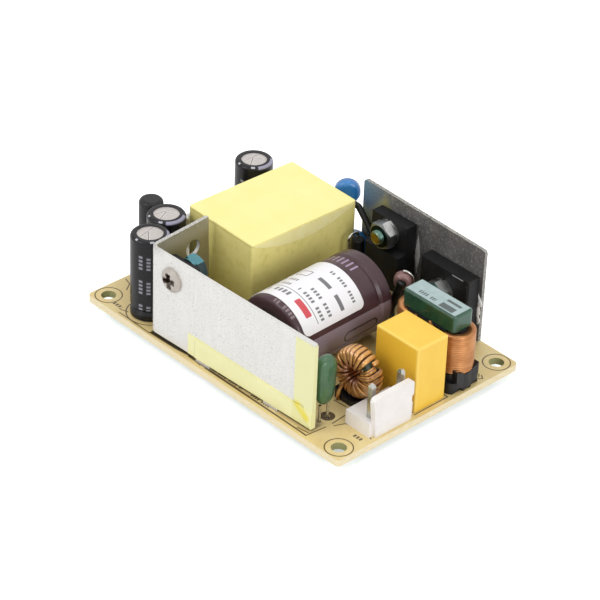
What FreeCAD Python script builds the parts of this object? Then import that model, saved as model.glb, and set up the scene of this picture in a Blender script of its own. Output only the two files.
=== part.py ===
"""Open frame power supply: a bare circuit board carrying its parts and two folded heat sinks.

Lengths are in millimetres. The board frame has its origin at the near left corner of the
board's top face: x runs along the board from the output end to the input end, y from the
near edge to the far edge, z up. Every piece is built in that frame and moved once, at the
end, so that the finished part stands on its solder tails with its origin under its middle.
"""
import FreeCAD, Part
import math
import os

V = FreeCAD.Vector
UP = V(0, 0, 1)
ALONG_X = V(1, 0, 0)
ALONG_Y = V(0, 1, 0)

# Circuit board
BOARD_LENGTH = 76.2
BOARD_WIDTH = 50.8
BOARD_THICKNESS = 1.6
BOARD_CORNER_RADIUS = 1.0
MOUNT_HOLE_RADIUS = 1.6
MOUNT_HOLE_INSET = 3.175
LEAD_HOLE_CLEARANCE = 0.15
TAIL_LENGTH = 2.0
SOLDER_COLLAR = 0.55
SOLDER_TIP = 0.25

# Clearances and sheets shared by several parts
FIT_GAP = 0.05
SEAT_GAP = 0.3
SHEET = 0.8
PAD_THICKNESS = 0.3
PAD_MARGIN = 0.45

# Wires
THICK_WIRE_RADIUS = 0.4
THIN_WIRE_RADIUS = 0.3
PIN_SIDE = 0.7
SLEEVE_WALL = 0.4

# Screws and nuts of the heat sinks
SCREW_RADIUS = 1.45
SCREW_HOLE_RADIUS = 1.6
SCREW_LENGTH = 8.0
SCREW_TIP_CHAMFER = 0.3
SCREW_HEAD_RADIUS = 2.7
SCREW_HEAD_HEIGHT = 1.1
SCREW_HEAD_RIM = 0.45
RECESS_SPAN = 3.4
RECESS_WIDTH = 0.9
RECESS_DEPTH = 0.8
NUT_FLATS = 5.5
NUT_HEIGHT = 2.3
NUT_CHAMFER = 0.35
NUT_SIDE_COUNT = 6
WASHER_RADIUS = 2.9
WASHER_THICKNESS = 0.6
WASHER_SPLIT = 0.5
TOWARDS_NEAR = -90.0
RECTIFIER_NUT_TURN = 12.0
TRANSISTOR_NUT_TURN = 21.0
BRIDGE_NUT_TURN = 30.0

# Output heat sink: one folded sheet, a plate with a flange at its left end
OUTPUT_SINK_FROM_LEFT = 19.0
OUTPUT_SINK_FROM_NEAR = 0.85
OUTPUT_SINK_FROM_RIGHT = 10.2
OUTPUT_SINK_SKEW = 1.9
OUTPUT_SINK_FLANGE = 15.6
FLANGE_RISE = 0.5
FLANGE_LEAN = 0.5
PLATE_FALL = 0.45
OUTPUT_SINK_TOP = 21.2
OUTPUT_SINK_STANDOFF = 0.8
OUTPUT_SINK_BEND = 1.8
OUTPUT_LEG_WIDTH = 4.0
OUTPUT_LEG_PLACES = (16.0, 35.5)
FLANGE_LEG_PLACE = 8.0
FLANGE_HOLE_RADIUS = 1.9
FLANGE_HOLE_FROM_END = 4.3
FLANGE_HOLE_HEIGHT = 16.0
RECTIFIER_ALONG = 6.8
RECTIFIER_HOLE_HEIGHT = 16.1
RECTIFIER_WIDTH = 7.8
RECTIFIER_HEIGHT = 11.0
RECTIFIER_THICKNESS = 3.2
RECTIFIER_HOLE_FROM_TOP = 2.6
RECTIFIER_LEAD_COUNT = 3
RECTIFIER_PITCH = 2.3

# Pale tape on the output heat sink
TAPE_THICKNESS = 0.12
TAPE_HEIGHT_LEFT = 4.9
TAPE_HEIGHT_RIGHT = 4.1
TAPE_SECOND_BELOW = 0.25
TAPE_BELOW_TOP = 0.5
TAPE_START = 11.7
TAPE_OVERLAP_START = 13.7
TAPE_END_WIDTH = 5.0
TAPE_WRAP_DEPTH = 3.0
TAPE_FOLD_WIDTH = 5.4
TAPE_FOLD_HEIGHT = 4.4

# Input heat sink: a flat sheet along the far edge
INPUT_SINK_FROM_RIGHT = 10.2
INPUT_SINK_FROM_FAR = 0.6
INPUT_SINK_LENGTH = 35.0
INPUT_SINK_TOP = 23.5
INPUT_SINK_FALL = 1.0
INPUT_SINK_STANDOFF = 0.6
INPUT_LEG_WIDTH = 3.0
INPUT_LEG_INSET = 4.2
SINK_CORNER_RADIUS = 0.8

# Power devices on the input heat sink
TRANSISTOR_FROM_LEFT_END = 11.0
TRANSISTOR_HOLE_HEIGHT = 17.0
TRANSISTOR_WIDTH = 10.1
TRANSISTOR_HEIGHT = 15.0
TRANSISTOR_THICKNESS = 4.9
TRANSISTOR_TAB_HEIGHT = 6.6
TRANSISTOR_TAB_THICKNESS = 2.9
TRANSISTOR_HOLE_FROM_TOP = 3.0
TRANSISTOR_LEAD_COUNT = 3
TRANSISTOR_PITCH = 2.54
BRIDGE_FROM_RIGHT_END = 7.5
BRIDGE_HOLE_HEIGHT = 10.8
BRIDGE_WIDTH = 13.6
BRIDGE_HEIGHT = 12.4
BRIDGE_THICKNESS = 3.3
BRIDGE_HOLE_FROM_TOP = 5.4
BRIDGE_LEAD_COUNT = 4
BRIDGE_PITCH = 3.8
DEVICE_LEAD_WIDTH = 0.8
DEVICE_LEAD_THICKNESS = 0.5
DEVICE_EDGE = 0.4
MIDDLE_LEAD_JOG = 2.6
MIDDLE_LEAD_DROP = 1.5

# Transformer: its sides keep their distances to the board's edges
TRANSFORMER_FROM_LEFT = 11.45
TRANSFORMER_FROM_RIGHT = 44.45
TRANSFORMER_FROM_NEAR = 17.95
TRANSFORMER_FROM_FAR = 4.25
TRANSFORMER_TURN = -1.5
TRANSFORMER_TOP = 20.0
TRANSFORMER_STANDOFF = 0.4
WRAP_WALL = 0.5
WRAP_CORNER_RADIUS = 0.6
WRAP_TOP_RADIUS = 0.3
CORE_DEPTH = 7.2
CORE_MIDDLE_HEIGHT = 11.2
CORE_OUTER_LEG_SHARE = 0.128
CORE_CENTRE_LEG_SHARE = 0.305
CORE_BACK = 3.2
BOBBIN_WALL = 0.7
BOBBIN_RAIL_HEIGHT = 3.2
BOBBIN_FLANGE_HEIGHT = 15.0
COIL_FROM_TOP = 1.3
COIL_EDGE = 1.2
TRANSFORMER_PIN_COUNT = 4
TRANSFORMER_PIN_MARGIN = 3.4
TRANSFORMER_PIN_INSET = 1.8

# Bulk capacitor, lying along the board's width
BULK_RADIUS = 8.9
BULK_FROM_NEAR = 9.2
BULK_FROM_FAR = 15.4
BULK_SKEW = 1.6
BULK_PITCH = 7.5
BULK_LEAD_REACH = 1.9
BULK_DISC_RADIUS = 6.4
BULK_GROOVE_HEIGHT = 3.4
BULK_GROOVE_DEPTH = 0.35
BULK_EDGE = 1.2
LABEL_THICKNESS = 0.12
LABEL_FROM_TOP = 1.6
LABEL_LENGTH = 17.0
LABEL_START_ANGLE = 22.0
LABEL_SWEEP = 128.0
LABEL_STEP_COUNT = 4

# Output capacitors, standing: distance from the left edge, distance from the near edge
OUTPUT_CAPACITOR_RADIUS = 4.1
OUTPUT_CAPACITOR_HEIGHT = 19.45
OUTPUT_CAPACITOR_PITCH = 3.5
OUTPUT_CAPACITOR_DISC_RADIUS = 2.75
OUTPUT_CAPACITOR_GROOVE_HEIGHT = 2.2
OUTPUT_CAPACITOR_GROOVE_DEPTH = 0.5
OUTPUT_CAPACITOR_EDGE = 0.7
FIRST_CAPACITOR = (13.5, 5.7)
SECOND_CAPACITOR = (9.9, 13.2)
THIRD_CAPACITOR_FROM_LEFT = 5.3
THIRD_CAPACITOR_FROM_CONNECTOR = 2.68
CAN_SLEEVE_WALL = 0.15
BUNG_MARGIN = 0.7
BUNG_DEPTH = 1.4
GROOVE_HALF_WIDTH = 0.7

# Rod inductor
ROD_PLACE = (3.05, 14.9)
ROD_RADIUS = 2.6
ROD_TOP = 19.1
ROD_STANDOFF = 0.3
ROD_SHOULDER = 1.0
ROD_PITCH = 2.5

# Input and output connectors: a low base with pins and a locking wall at the board's edge
CONNECTOR_PITCH = 3.96
CONNECTOR_END_MARGIN = 1.97
CONNECTOR_BASE_DEPTH = 6.7
CONNECTOR_BASE_HEIGHT = 3.3
CONNECTOR_WALL_HEIGHT = 9.4
CONNECTOR_WALL_THICKNESS = 1.2
CONNECTOR_WALL_STEP = 0.8
CONNECTOR_WALL_INSET = 1.1
CONNECTOR_WALL_FLARE = 1.0
CONNECTOR_LUG_HEIGHT = 3.4
CONNECTOR_LUG_REACH = 0.45
CONNECTOR_CORNER_RADIUS = 1.0
CONNECTOR_EDGE_GAP = 0.7
CONNECTOR_PIN_SIDE = 1.14
CONNECTOR_PIN_TOP = 11.1
CONNECTOR_PIN_TAPER = 0.6
CONNECTOR_PIN_FROM_WALL = 2.6
CONNECTOR_KEY_HEIGHT = 8.1
CONNECTOR_KEY_SIZE = 1.2
INPUT_CONNECTOR_FROM_NEAR = 9.7
INPUT_PIN_INDEXES = (0, 2)
INPUT_CONNECTOR_WAY_COUNT = 3
OUTPUT_CONNECTOR_FROM_NEAR = 19.2
OUTPUT_PIN_INDEXES = (0, 1, 2, 3)
OUTPUT_CONNECTOR_WAY_COUNT = 4

# Safety capacitor: a moulded box
SAFETY_LENGTH = 11.8
SAFETY_HEIGHT = 15.1
SAFETY_FROM_RIGHT = 1.5
SAFETY_FROM_CONNECTOR = 0.7
SAFETY_FROM_CHOKE = 1.0
SAFETY_STANDOFF = 0.1
SAFETY_EDGE = 0.35
SAFETY_PITCH = 10.0

# Common mode choke: a closed core with two windings on a moulded base
CHOKE_FROM_RIGHT = 10.0
CHOKE_FROM_FAR = 14.6
CHOKE_CORE_LENGTH = 14.6
CHOKE_YOKE_WIDTH = 5.6
CHOKE_CORE_CORNER = 1.0
CHOKE_UPPER_YOKE = 3.7
CHOKE_LOWER_YOKE = 2.3
CHOKE_WINDING_RADIUS = 3.85
CHOKE_WINDING_OFFSET = 5.7
CHOKE_WINDING_LENGTH = 8.8
CHOKE_LEG_RADIUS = 1.6
CHOKE_WIRE_RADIUS = 0.4
CHOKE_TUBE_WALL = 0.4
CHOKE_BASE_LENGTH = 18.8
CHOKE_BASE_WIDTH = 9.0
CHOKE_BASE_HEIGHT = 4.2
CHOKE_FLOOR = 0.5
CHOKE_BASE_CORNER = 2.4
CHOKE_STEP_HEIGHT = 2.6
CHOKE_LIP_RADIUS = 4.85
CHOKE_LIP_WIDTH = 6.2
CHOKE_LIP_TOP = 5.3
CHOKE_LIP_DIP = 0.9
CHOKE_PARTITION = 3.4
CHOKE_TOP_FLANGE = 0.4
CHOKE_TOP_FLANGE_LENGTH = 10.4
CHOKE_TOP_FLANGE_WIDTH = 6.6
CHOKE_ARCH_RADIUS = 1.2
CHOKE_ARCH_SPACING = 4.6
CHOKE_ARCH_DEPTH = 0.6
CHOKE_PIN_SPACING = 15.0
CHOKE_PIN_ROWS = 7.5
CHOKE_FOOT_SLOT = 1.0
CHOKE_YOKE_EDGE = 0.45
CHOKE_LABEL_THICKNESS = 0.1
CHOKE_LABEL_MARGIN = 0.1

# Toroid choke, standing on edge in a moulded saddle
TOROID_FROM_RIGHT = 12.3
TOROID_FROM_NEAR = 16.95
TOROID_CORE_OUTER = 4.8
TOROID_CORE_INNER = 2.7
TOROID_CORE_WIDTH = 2.6
TOROID_CORE_EDGE = 0.7
TOROID_BEND = 0.95
TOROID_WIRE_RADIUS = 0.4
TOROID_TURN_COUNT = 24
TOROID_GAP_ANGLE = 28.0
TOROID_GAP_SWEEP = 30.0
TOROID_SECOND_LAYER = 0.69
TOROID_CROSSING_RISE = 0.72
TOROID_BASE_LENGTH = 7.4
TOROID_BASE_WIDTH = 5.4
TOROID_BASE_HEIGHT = 3.4
TOROID_BASE_FLOOR = 1.2
TOROID_LEAD_SPREAD = 3.0

# Varistor: a dipped body with two leads
VARISTOR_FROM_RIGHT = 11.9
VARISTOR_FROM_NEAR = 7.25
VARISTOR_THICKNESS = 3.6
VARISTOR_WIDTH = 5.2
VARISTOR_TOP = 15.2
VARISTOR_BOTTOM = 3.9
VARISTOR_SHOULDER = 2.2
VARISTOR_FOOT = 1.4
VARISTOR_EDGE = 1.2
VARISTOR_PITCH = 2.2

# Disc capacitors behind the transformer
UPPER_DISC_RADIUS = 2.8
UPPER_DISC_THICKNESS = 2.6
UPPER_DISC_TURN = 45.0
UPPER_DISC_HEIGHT = 18.4
UPPER_DISC_BEHIND_TRANSFORMER = 2.65
UPPER_DISC_FROM_SINK_END = 4.6
LOWER_DISC_RADIUS = 3.3
LOWER_DISC_THICKNESS = 2.2
LOWER_DISC_HEIGHT = 7.9
LOWER_DISC_ALONG_SINK = 0.2
LOWER_DISC_BEFORE_SINK = 1.45
DISC_PITCH = 3.4
DISC_EDGE = 0.9

# Sleeved lead that runs from the upper disc to the board beside the transistor
SLEEVED_LEAD_BEFORE_SINK = 1.4
SLEEVED_LEAD_HIGH = 17.3
SLEEVED_LEAD_LOW = 13.0
SLEEVED_LEAD_START = 0.1
SLEEVED_LEAD_END = 4.4
SLEEVE_FOOT = 0.3
LEAD_BEND_RADIUS = 1.1

# Thermistor held up on its leads between the bulk capacitor and the bridge
THERMISTOR_RADIUS = 1.9
THERMISTOR_THICKNESS = 2.8
THERMISTOR_TURN = 40.0
THERMISTOR_HEIGHT = 11.8
THERMISTOR_BESIDE_BRIDGE = 7.1
THERMISTOR_BEFORE_BRIDGE = 4.5
THERMISTOR_LEAD_DRIFT = 1.8

# Diode standing on one lead beside the transformer
DIODE_RADIUS = 1.4
DIODE_LENGTH = 5.2
DIODE_BOTTOM = 7.0
DIODE_FROM_TRANSFORMER = 2.7
DIODE_FROM_FAR = 5.9
DIODE_LOOP_HEIGHT = 1.8
DIODE_LOOP_SPAN = 2.8

# Optocoupler behind the output heat sink
OPTO_FROM_NEAR = 11.6
OPTO_BESIDE_BULK = 5.0
OPTO_LENGTH = 6.4
OPTO_WIDTH = 4.6
OPTO_HEIGHT = 3.3
OPTO_STANDOFF = 0.5
OPTO_PITCH = 2.54
OPTO_ROW = 7.62
OPTO_EDGE = 0.3

# Chip parts on the underside, between the leads
CHIP_LENGTH = 5.0
CHIP_WIDTH = 4.0
CHIP_HEIGHT = 1.4
CHIP_LEAD_COUNT = 4
CHIP_LEAD_PITCH = 1.27
CHIP_LEAD_REACH = 1.0
CHIP_LEAD_WIDTH = 0.42
CHIP_LEAD_THICKNESS = 0.25
CHIP_FROM_NEAR = 21.0
CHIP_PART_LENGTH = 2.0
CHIP_PART_WIDTH = 1.25
CHIP_PART_HEIGHT = 0.6
CHIP_ROW_COUNT = 2
CHIP_COLUMN_COUNT = 4
CHIP_PART_SPACING = 3.1
CHIP_PART_OFFSET = 5.2

# Places worked out from the values above
OUTPUT_SINK_CORNER = V(OUTPUT_SINK_FROM_LEFT, OUTPUT_SINK_FROM_NEAR, 0)
OUTPUT_SINK_LENGTH = BOARD_LENGTH - OUTPUT_SINK_FROM_LEFT - OUTPUT_SINK_FROM_RIGHT
INPUT_SINK_RIGHT = BOARD_LENGTH - INPUT_SINK_FROM_RIGHT
INPUT_SINK_LEFT = INPUT_SINK_RIGHT - INPUT_SINK_LENGTH
INPUT_SINK_OUTER = BOARD_WIDTH - INPUT_SINK_FROM_FAR
INPUT_SINK_INNER = INPUT_SINK_OUTER - SHEET
DEVICE_BACK = INPUT_SINK_INNER - PAD_THICKNESS
TRANSFORMER_RIGHT = BOARD_LENGTH - TRANSFORMER_FROM_RIGHT
TRANSFORMER_FAR = BOARD_WIDTH - TRANSFORMER_FROM_FAR
TRANSFORMER_WIDTH = TRANSFORMER_RIGHT - TRANSFORMER_FROM_LEFT
TRANSFORMER_LENGTH = TRANSFORMER_FAR - TRANSFORMER_FROM_NEAR
CORE_OUTER_LEG = CORE_OUTER_LEG_SHARE * TRANSFORMER_WIDTH
CORE_CENTRE_LEG = CORE_CENTRE_LEG_SHARE * TRANSFORMER_WIDTH
TOROID_X = BOARD_LENGTH - TOROID_FROM_RIGHT
TOROID_HEIGHT = TOROID_BASE_FLOOR + FIT_GAP + TOROID_CORE_OUTER + 2 * TOROID_WIRE_RADIUS
BULK_X = (TRANSFORMER_RIGHT + TOROID_X - TOROID_BASE_LENGTH / 2) / 2
BULK_HEIGHT = BULK_RADIUS + SEAT_GAP
BULK_LENGTH = BOARD_WIDTH - BULK_FROM_NEAR - BULK_FROM_FAR
CHOKE_X = BOARD_LENGTH - CHOKE_FROM_RIGHT
CHOKE_Y = BOARD_WIDTH - CHOKE_FROM_FAR
CHOKE_WINDING_TOP = CHOKE_BASE_HEIGHT + CHOKE_WINDING_LENGTH
CHOKE_TUBE_RADIUS = CHOKE_LEG_RADIUS + FIT_GAP + CHOKE_TUBE_WALL
CHOKE_SPOOL_TOP = CHOKE_WINDING_TOP + CHOKE_TOP_FLANGE + FIT_GAP
CHOKE_YOKE_FOOT = CHOKE_SPOOL_TOP + FIT_GAP
CHOKE_CORE_TOP = CHOKE_YOKE_FOOT + CHOKE_UPPER_YOKE


class Assembly:
    """The solids of each node and the places where leads pass through the board."""

    def __init__(self):
        self.nodes = {}
        self.leads = []
        self.slots = []

    def add(self, node, *solids):
        """Adds solids to a node."""
        self.nodes.setdefault(node, []).extend(solids)

    def drill(self, x, y, radius):
        """Notes a lead that goes through the board."""
        self.leads.append((x, y, radius))

    def lead(self, node, x, y, top, radius=THICK_WIRE_RADIUS):
        """Adds a straight round lead from the underside of the board up to top."""
        self.drill(x, y, radius)
        self.add(node, cylinder(radius, top + BOARD_THICKNESS, V(x, y, -BOARD_THICKNESS)))

    def pin(self, node, x, y, top, side=PIN_SIDE):
        """Adds a straight square pin from the underside of the board up to top."""
        self.drill(x, y, side / math.sqrt(2))
        self.add(node, block(x, y, -BOARD_THICKNESS, side, side, top + BOARD_THICKNESS))


def block(x, y, bottom, length, width, height):
    """A box with its middle at x, y and its underside at bottom."""
    return Part.makeBox(length, width, height, V(x - length / 2, y - width / 2, bottom))


def cylinder(radius, height, foot, axis=UP):
    """A cylinder that starts at foot and runs along axis."""
    return Part.makeCylinder(radius, height, foot, axis)


def fused(solids):
    """One solid from overlapping ones."""
    return solids[0].multiFuse(solids[1:]).removeSplitter().Solids[0]


def prism(points, direction):
    """A solid with a flat outline of corner points, carried along direction."""
    return Part.Face(Part.makePolygon(points + points[:1])).extrude(direction)


def turned_profile(points):
    """A solid turned about the z axis from an outline of radius and height pairs."""
    outline = [V(radius, 0, height) for radius, height in points]
    return Part.Face(Part.makePolygon(outline + outline[:1])).revolve(V(0, 0, 0), UP, 360)


def rounded(shape, radius, wanted):
    """Fillets the edges of a shape for which wanted(edge) is true."""
    return shape.makeFillet(radius, [edge for edge in shape.Edges if wanted(edge)])


def upright(edge):
    """True for a straight edge that runs along z."""
    start, end = edge.Vertexes[0].Point, edge.Vertexes[-1].Point
    return abs(start.x - end.x) + abs(start.y - end.y) < FIT_GAP < abs(start.z - end.z)


def at_height(height):
    """A test for edges that lie flat at a height."""
    return lambda edge: max(abs(edge.BoundBox.ZMin - height), abs(edge.BoundBox.ZMax - height)) < FIT_GAP


def moved(shape, place, turn=0.0, axis=UP):
    """A copy turned about an axis through the origin and then moved to a place."""
    copy = shape.copy()
    copy.Placement = FreeCAD.Placement(place, FreeCAD.Rotation(axis, turn)).multiply(copy.Placement)
    return copy


def wire_path(points, bend):
    """Straight runs through the points, joined by arcs of the bend radius."""
    edges = []
    start = points[0]
    for before, corner, after in zip(points, points[1:], points[2:]):
        towards = (before - corner).normalize()
        away = (after - corner).normalize()
        half = towards.getAngle(away) / 2
        reach = bend / math.tan(half)
        middle = corner + (towards + away).normalize() * (bend / math.sin(half) - bend)
        edges.append(Part.makeLine(start, corner + towards * reach))
        edges.append(Part.Arc(corner + towards * reach, middle, corner + away * reach).toShape())
        start = corner + away * reach
    edges.append(Part.makeLine(start, points[-1]))
    return Part.Wire(edges)


def round_wire(points, radius, bend=LEAD_BEND_RADIUS):
    """A round wire along straight runs joined by arcs."""
    path = wire_path(points, bend)
    section = Part.Wire(Part.makeCircle(radius, points[0], points[1] - points[0]))
    return path.makePipeShell([section], True, False)


def tube(points, radius, bore, bend=LEAD_BEND_RADIUS):
    """A sleeve along straight runs joined by arcs."""
    return round_wire(points, radius, bend).cut(round_wire(points, bore, bend))


# Fasteners, built with their axis along z and the head's underside at the origin

def pan_screw():
    """A pan head screw with a cross recess, pointing down."""
    profile = [(0, SCREW_HEAD_HEIGHT), (RECESS_SPAN / 2, SCREW_HEAD_HEIGHT),
               (SCREW_HEAD_RADIUS, SCREW_HEAD_RIM), (SCREW_HEAD_RADIUS, 0), (SCREW_RADIUS, 0),
               (SCREW_RADIUS, SCREW_TIP_CHAMFER - SCREW_LENGTH),
               (SCREW_RADIUS - SCREW_TIP_CHAMFER, -SCREW_LENGTH), (0, -SCREW_LENGTH)]
    screw = turned_profile(profile)
    foot = SCREW_HEAD_HEIGHT - RECESS_DEPTH
    slot = block(0, 0, foot, RECESS_SPAN, RECESS_WIDTH, SCREW_HEAD_HEIGHT)
    return screw.cut(slot).cut(moved(slot, V(0, 0, 0), 90))


def hex_nut():
    """A hexagon nut whose corners are turned off at its outer end."""
    corner = NUT_FLATS / 2 / math.cos(math.pi / NUT_SIDE_COUNT)
    angles = [2 * math.pi * k / NUT_SIDE_COUNT for k in range(NUT_SIDE_COUNT)]
    points = [V(corner * math.cos(angle), corner * math.sin(angle), 0) for angle in angles]
    body = prism(points, V(0, 0, NUT_HEIGHT))
    cone = turned_profile([(0, 0), (corner, 0), (corner, NUT_HEIGHT - NUT_CHAMFER),
                           (corner - 2 * NUT_CHAMFER, NUT_HEIGHT), (0, NUT_HEIGHT)])
    bore = cylinder(SCREW_RADIUS + FIT_GAP, NUT_HEIGHT, V(0, 0, 0))
    return body.common(cone).cut(bore)


def split_washer():
    """A spring washer with its split."""
    ring = cylinder(WASHER_RADIUS, WASHER_THICKNESS, V(0, 0, 0))
    ring = ring.cut(cylinder(SCREW_HOLE_RADIUS, WASHER_THICKNESS, V(0, 0, 0)))
    return ring.cut(block(0, WASHER_RADIUS, 0, WASHER_SPLIT, 2 * WASHER_RADIUS, WASHER_THICKNESS))


def fasten(assembly, place, thickness, turn, nut_turn):
    """A screw from the outside of a sheet through a device, with a washer and a nut inside.

    place is on the sheet's outer face, thickness is what the screw clamps, and turn is the
    heading in degrees of the screw's axis from outside to inside.
    """
    inward = V(math.cos(math.radians(turn)), math.sin(math.radians(turn)), 0)
    lay = FreeCAD.Rotation(V(0, 0, -1), inward)
    back = FreeCAD.Rotation(V(0, 0, 1), inward)
    spin = FreeCAD.Rotation(UP, nut_turn)
    screw = pan_screw()
    screw.Placement = FreeCAD.Placement(place, lay)
    washer = split_washer()
    washer.Placement = FreeCAD.Placement(place + inward * thickness, back)
    nut = hex_nut()
    nut.Placement = FreeCAD.Placement(place + inward * (thickness + WASHER_THICKNESS), back.multiply(spin))
    assembly.add("heatsink_screws", screw)
    assembly.add("lock_washers", washer)
    assembly.add("heatsink_nuts", nut)


# Heat sinks

def along_output_sink(along, deep, height):
    """A place on the output heat sink: along its plate, inwards from its outer face, and up."""
    skew = FreeCAD.Rotation(UP, OUTPUT_SINK_SKEW)
    return OUTPUT_SINK_CORNER + skew.multVec(V(along, deep, 0)) + V(0, 0, height)


def on_output_sink(shape):
    """Turns and moves a shape from the heat sink's own frame to the board frame."""
    return moved(shape, OUTPUT_SINK_CORNER, OUTPUT_SINK_SKEW)


def output_heatsink(assembly):
    """The folded sheet with its flange, legs and two holes; its sheared edges are a little askew."""
    bottom, top, bend = OUTPUT_SINK_STANDOFF, OUTPUT_SINK_TOP, OUTPUT_SINK_BEND
    plate = prism([V(bend, 0, bottom), V(OUTPUT_SINK_LENGTH, 0, bottom),
                   V(OUTPUT_SINK_LENGTH, 0, top - PLATE_FALL), V(bend, 0, top)], V(0, SHEET, 0))
    flange = prism([V(0, bend, bottom), V(0, OUTPUT_SINK_FLANGE + FLANGE_LEAN, bottom),
                    V(0, OUTPUT_SINK_FLANGE, top + FLANGE_RISE), V(0, bend, top)], V(SHEET, 0, 0))
    centre = V(bend, bend, bottom)
    elbow = cylinder(bend, top - bottom, centre).cut(cylinder(bend - SHEET, top - bottom, centre))
    elbow = elbow.common(Part.makeBox(bend, bend, top - bottom, V(0, 0, bottom)))
    sheet = fused([plate, elbow, flange])
    drop = BOARD_THICKNESS + OUTPUT_SINK_STANDOFF + FIT_GAP
    for along in OUTPUT_LEG_PLACES:
        sheet = sheet.fuse(block(along, SHEET / 2, -BOARD_THICKNESS, OUTPUT_LEG_WIDTH, SHEET, drop))
        leg = along_output_sink(along, SHEET / 2, 0)
        assembly.slots.append((leg.x, leg.y, OUTPUT_LEG_WIDTH, SHEET, OUTPUT_SINK_SKEW))
    sheet = sheet.fuse(block(SHEET / 2, FLANGE_LEG_PLACE, -BOARD_THICKNESS, SHEET, OUTPUT_LEG_WIDTH, drop))
    leg = along_output_sink(SHEET / 2, FLANGE_LEG_PLACE, 0)
    assembly.slots.append((leg.x, leg.y, SHEET, OUTPUT_LEG_WIDTH, OUTPUT_SINK_SKEW))
    bore = cylinder(SCREW_HOLE_RADIUS, SHEET, V(RECTIFIER_ALONG, 0, RECTIFIER_HOLE_HEIGHT), ALONG_Y)
    spare = cylinder(FLANGE_HOLE_RADIUS, SHEET,
                     V(0, OUTPUT_SINK_FLANGE - FLANGE_HOLE_FROM_END, FLANGE_HOLE_HEIGHT), ALONG_X)
    sheet = sheet.cut(bore).cut(spare).removeSplitter()
    assembly.add("output_heatsink", on_output_sink(sheet.Solids[0]))


def tape_run(start, front, below):
    """One run of tape along the plate's foot, narrower towards the free end."""
    bottom, end = OUTPUT_SINK_STANDOFF, OUTPUT_SINK_LENGTH
    return prism([V(start, front, bottom), V(end, front, bottom),
                  V(end, front, bottom + TAPE_HEIGHT_RIGHT - below),
                  V(start, front, bottom + TAPE_HEIGHT_LEFT - below)], V(0, TAPE_THICKNESS, 0))


def output_heatsink_tape(assembly):
    """Two runs of tape along the plate's foot and one round its free end, with a folded corner."""
    bottom = OUTPUT_SINK_STANDOFF
    front = -TAPE_THICKNESS
    lower = tape_run(TAPE_START, front, 0)
    second = tape_run(TAPE_OVERLAP_START, 2 * front, TAPE_SECOND_BELOW)
    end_left = OUTPUT_SINK_LENGTH - TAPE_END_WIDTH
    tall = OUTPUT_SINK_TOP - PLATE_FALL - TAPE_BELOW_TOP - bottom
    end = Part.makeBox(TAPE_END_WIDTH + TAPE_THICKNESS, TAPE_THICKNESS, tall, V(end_left, front, bottom))
    edge = Part.makeBox(TAPE_THICKNESS, SHEET + 2 * TAPE_THICKNESS, tall, V(OUTPUT_SINK_LENGTH, front, bottom))
    inside = Part.makeBox(TAPE_WRAP_DEPTH, TAPE_THICKNESS, tall,
                          V(OUTPUT_SINK_LENGTH + TAPE_THICKNESS - TAPE_WRAP_DEPTH, SHEET, bottom))
    right = OUTPUT_SINK_LENGTH + TAPE_THICKNESS
    fold = prism([V(right, 2 * front, bottom),
                  V(right - TAPE_FOLD_WIDTH / 2, 2 * front, bottom + TAPE_FOLD_HEIGHT),
                  V(right - TAPE_FOLD_WIDTH, 2 * front, bottom + TAPE_HEIGHT_RIGHT)], V(0, front, 0))
    assembly.add("output_heatsink_tape", on_output_sink(fused([lower, second, end, edge, inside, fold])))


def input_heatsink(assembly):
    """The flat sheet at the far edge, with two legs and the bores of its screws."""
    corners = [(INPUT_SINK_LEFT, INPUT_SINK_STANDOFF), (INPUT_SINK_RIGHT, INPUT_SINK_STANDOFF),
               (INPUT_SINK_RIGHT, INPUT_SINK_TOP - INPUT_SINK_FALL), (INPUT_SINK_LEFT, INPUT_SINK_TOP)]
    sheet = prism([V(x, INPUT_SINK_INNER, z) for x, z in corners], V(0, SHEET, 0))
    sheet = rounded(sheet, SINK_CORNER_RADIUS, lambda edge: edge.BoundBox.YLength > SHEET - FIT_GAP
                    and edge.BoundBox.ZMin > INPUT_SINK_STANDOFF + FIT_GAP)
    middle = INPUT_SINK_INNER + SHEET / 2
    for x in (INPUT_SINK_LEFT + INPUT_LEG_INSET, INPUT_SINK_RIGHT - INPUT_LEG_INSET):
        sheet = sheet.fuse(block(x, middle, -BOARD_THICKNESS, INPUT_LEG_WIDTH, SHEET,
                                 BOARD_THICKNESS + INPUT_SINK_STANDOFF + FIT_GAP))
        assembly.slots.append((x, middle, INPUT_LEG_WIDTH, SHEET, 0))
    for x, height in ((transistor_x(), TRANSISTOR_HOLE_HEIGHT), (bridge_x(), BRIDGE_HOLE_HEIGHT)):
        sheet = sheet.cut(cylinder(SCREW_HOLE_RADIUS, SHEET, V(x, INPUT_SINK_INNER, height), ALONG_Y))
    assembly.add("input_heatsink", sheet.removeSplitter().Solids[0])


def transistor_x():
    """The middle of the switching transistor along the board."""
    return INPUT_SINK_LEFT + TRANSISTOR_FROM_LEFT_END


def bridge_x():
    """The middle of the bridge rectifier along the board."""
    return INPUT_SINK_RIGHT - BRIDGE_FROM_RIGHT_END


# Power devices, built with their back face on y = 0, their body towards -y and their foot at z = 0

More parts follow.
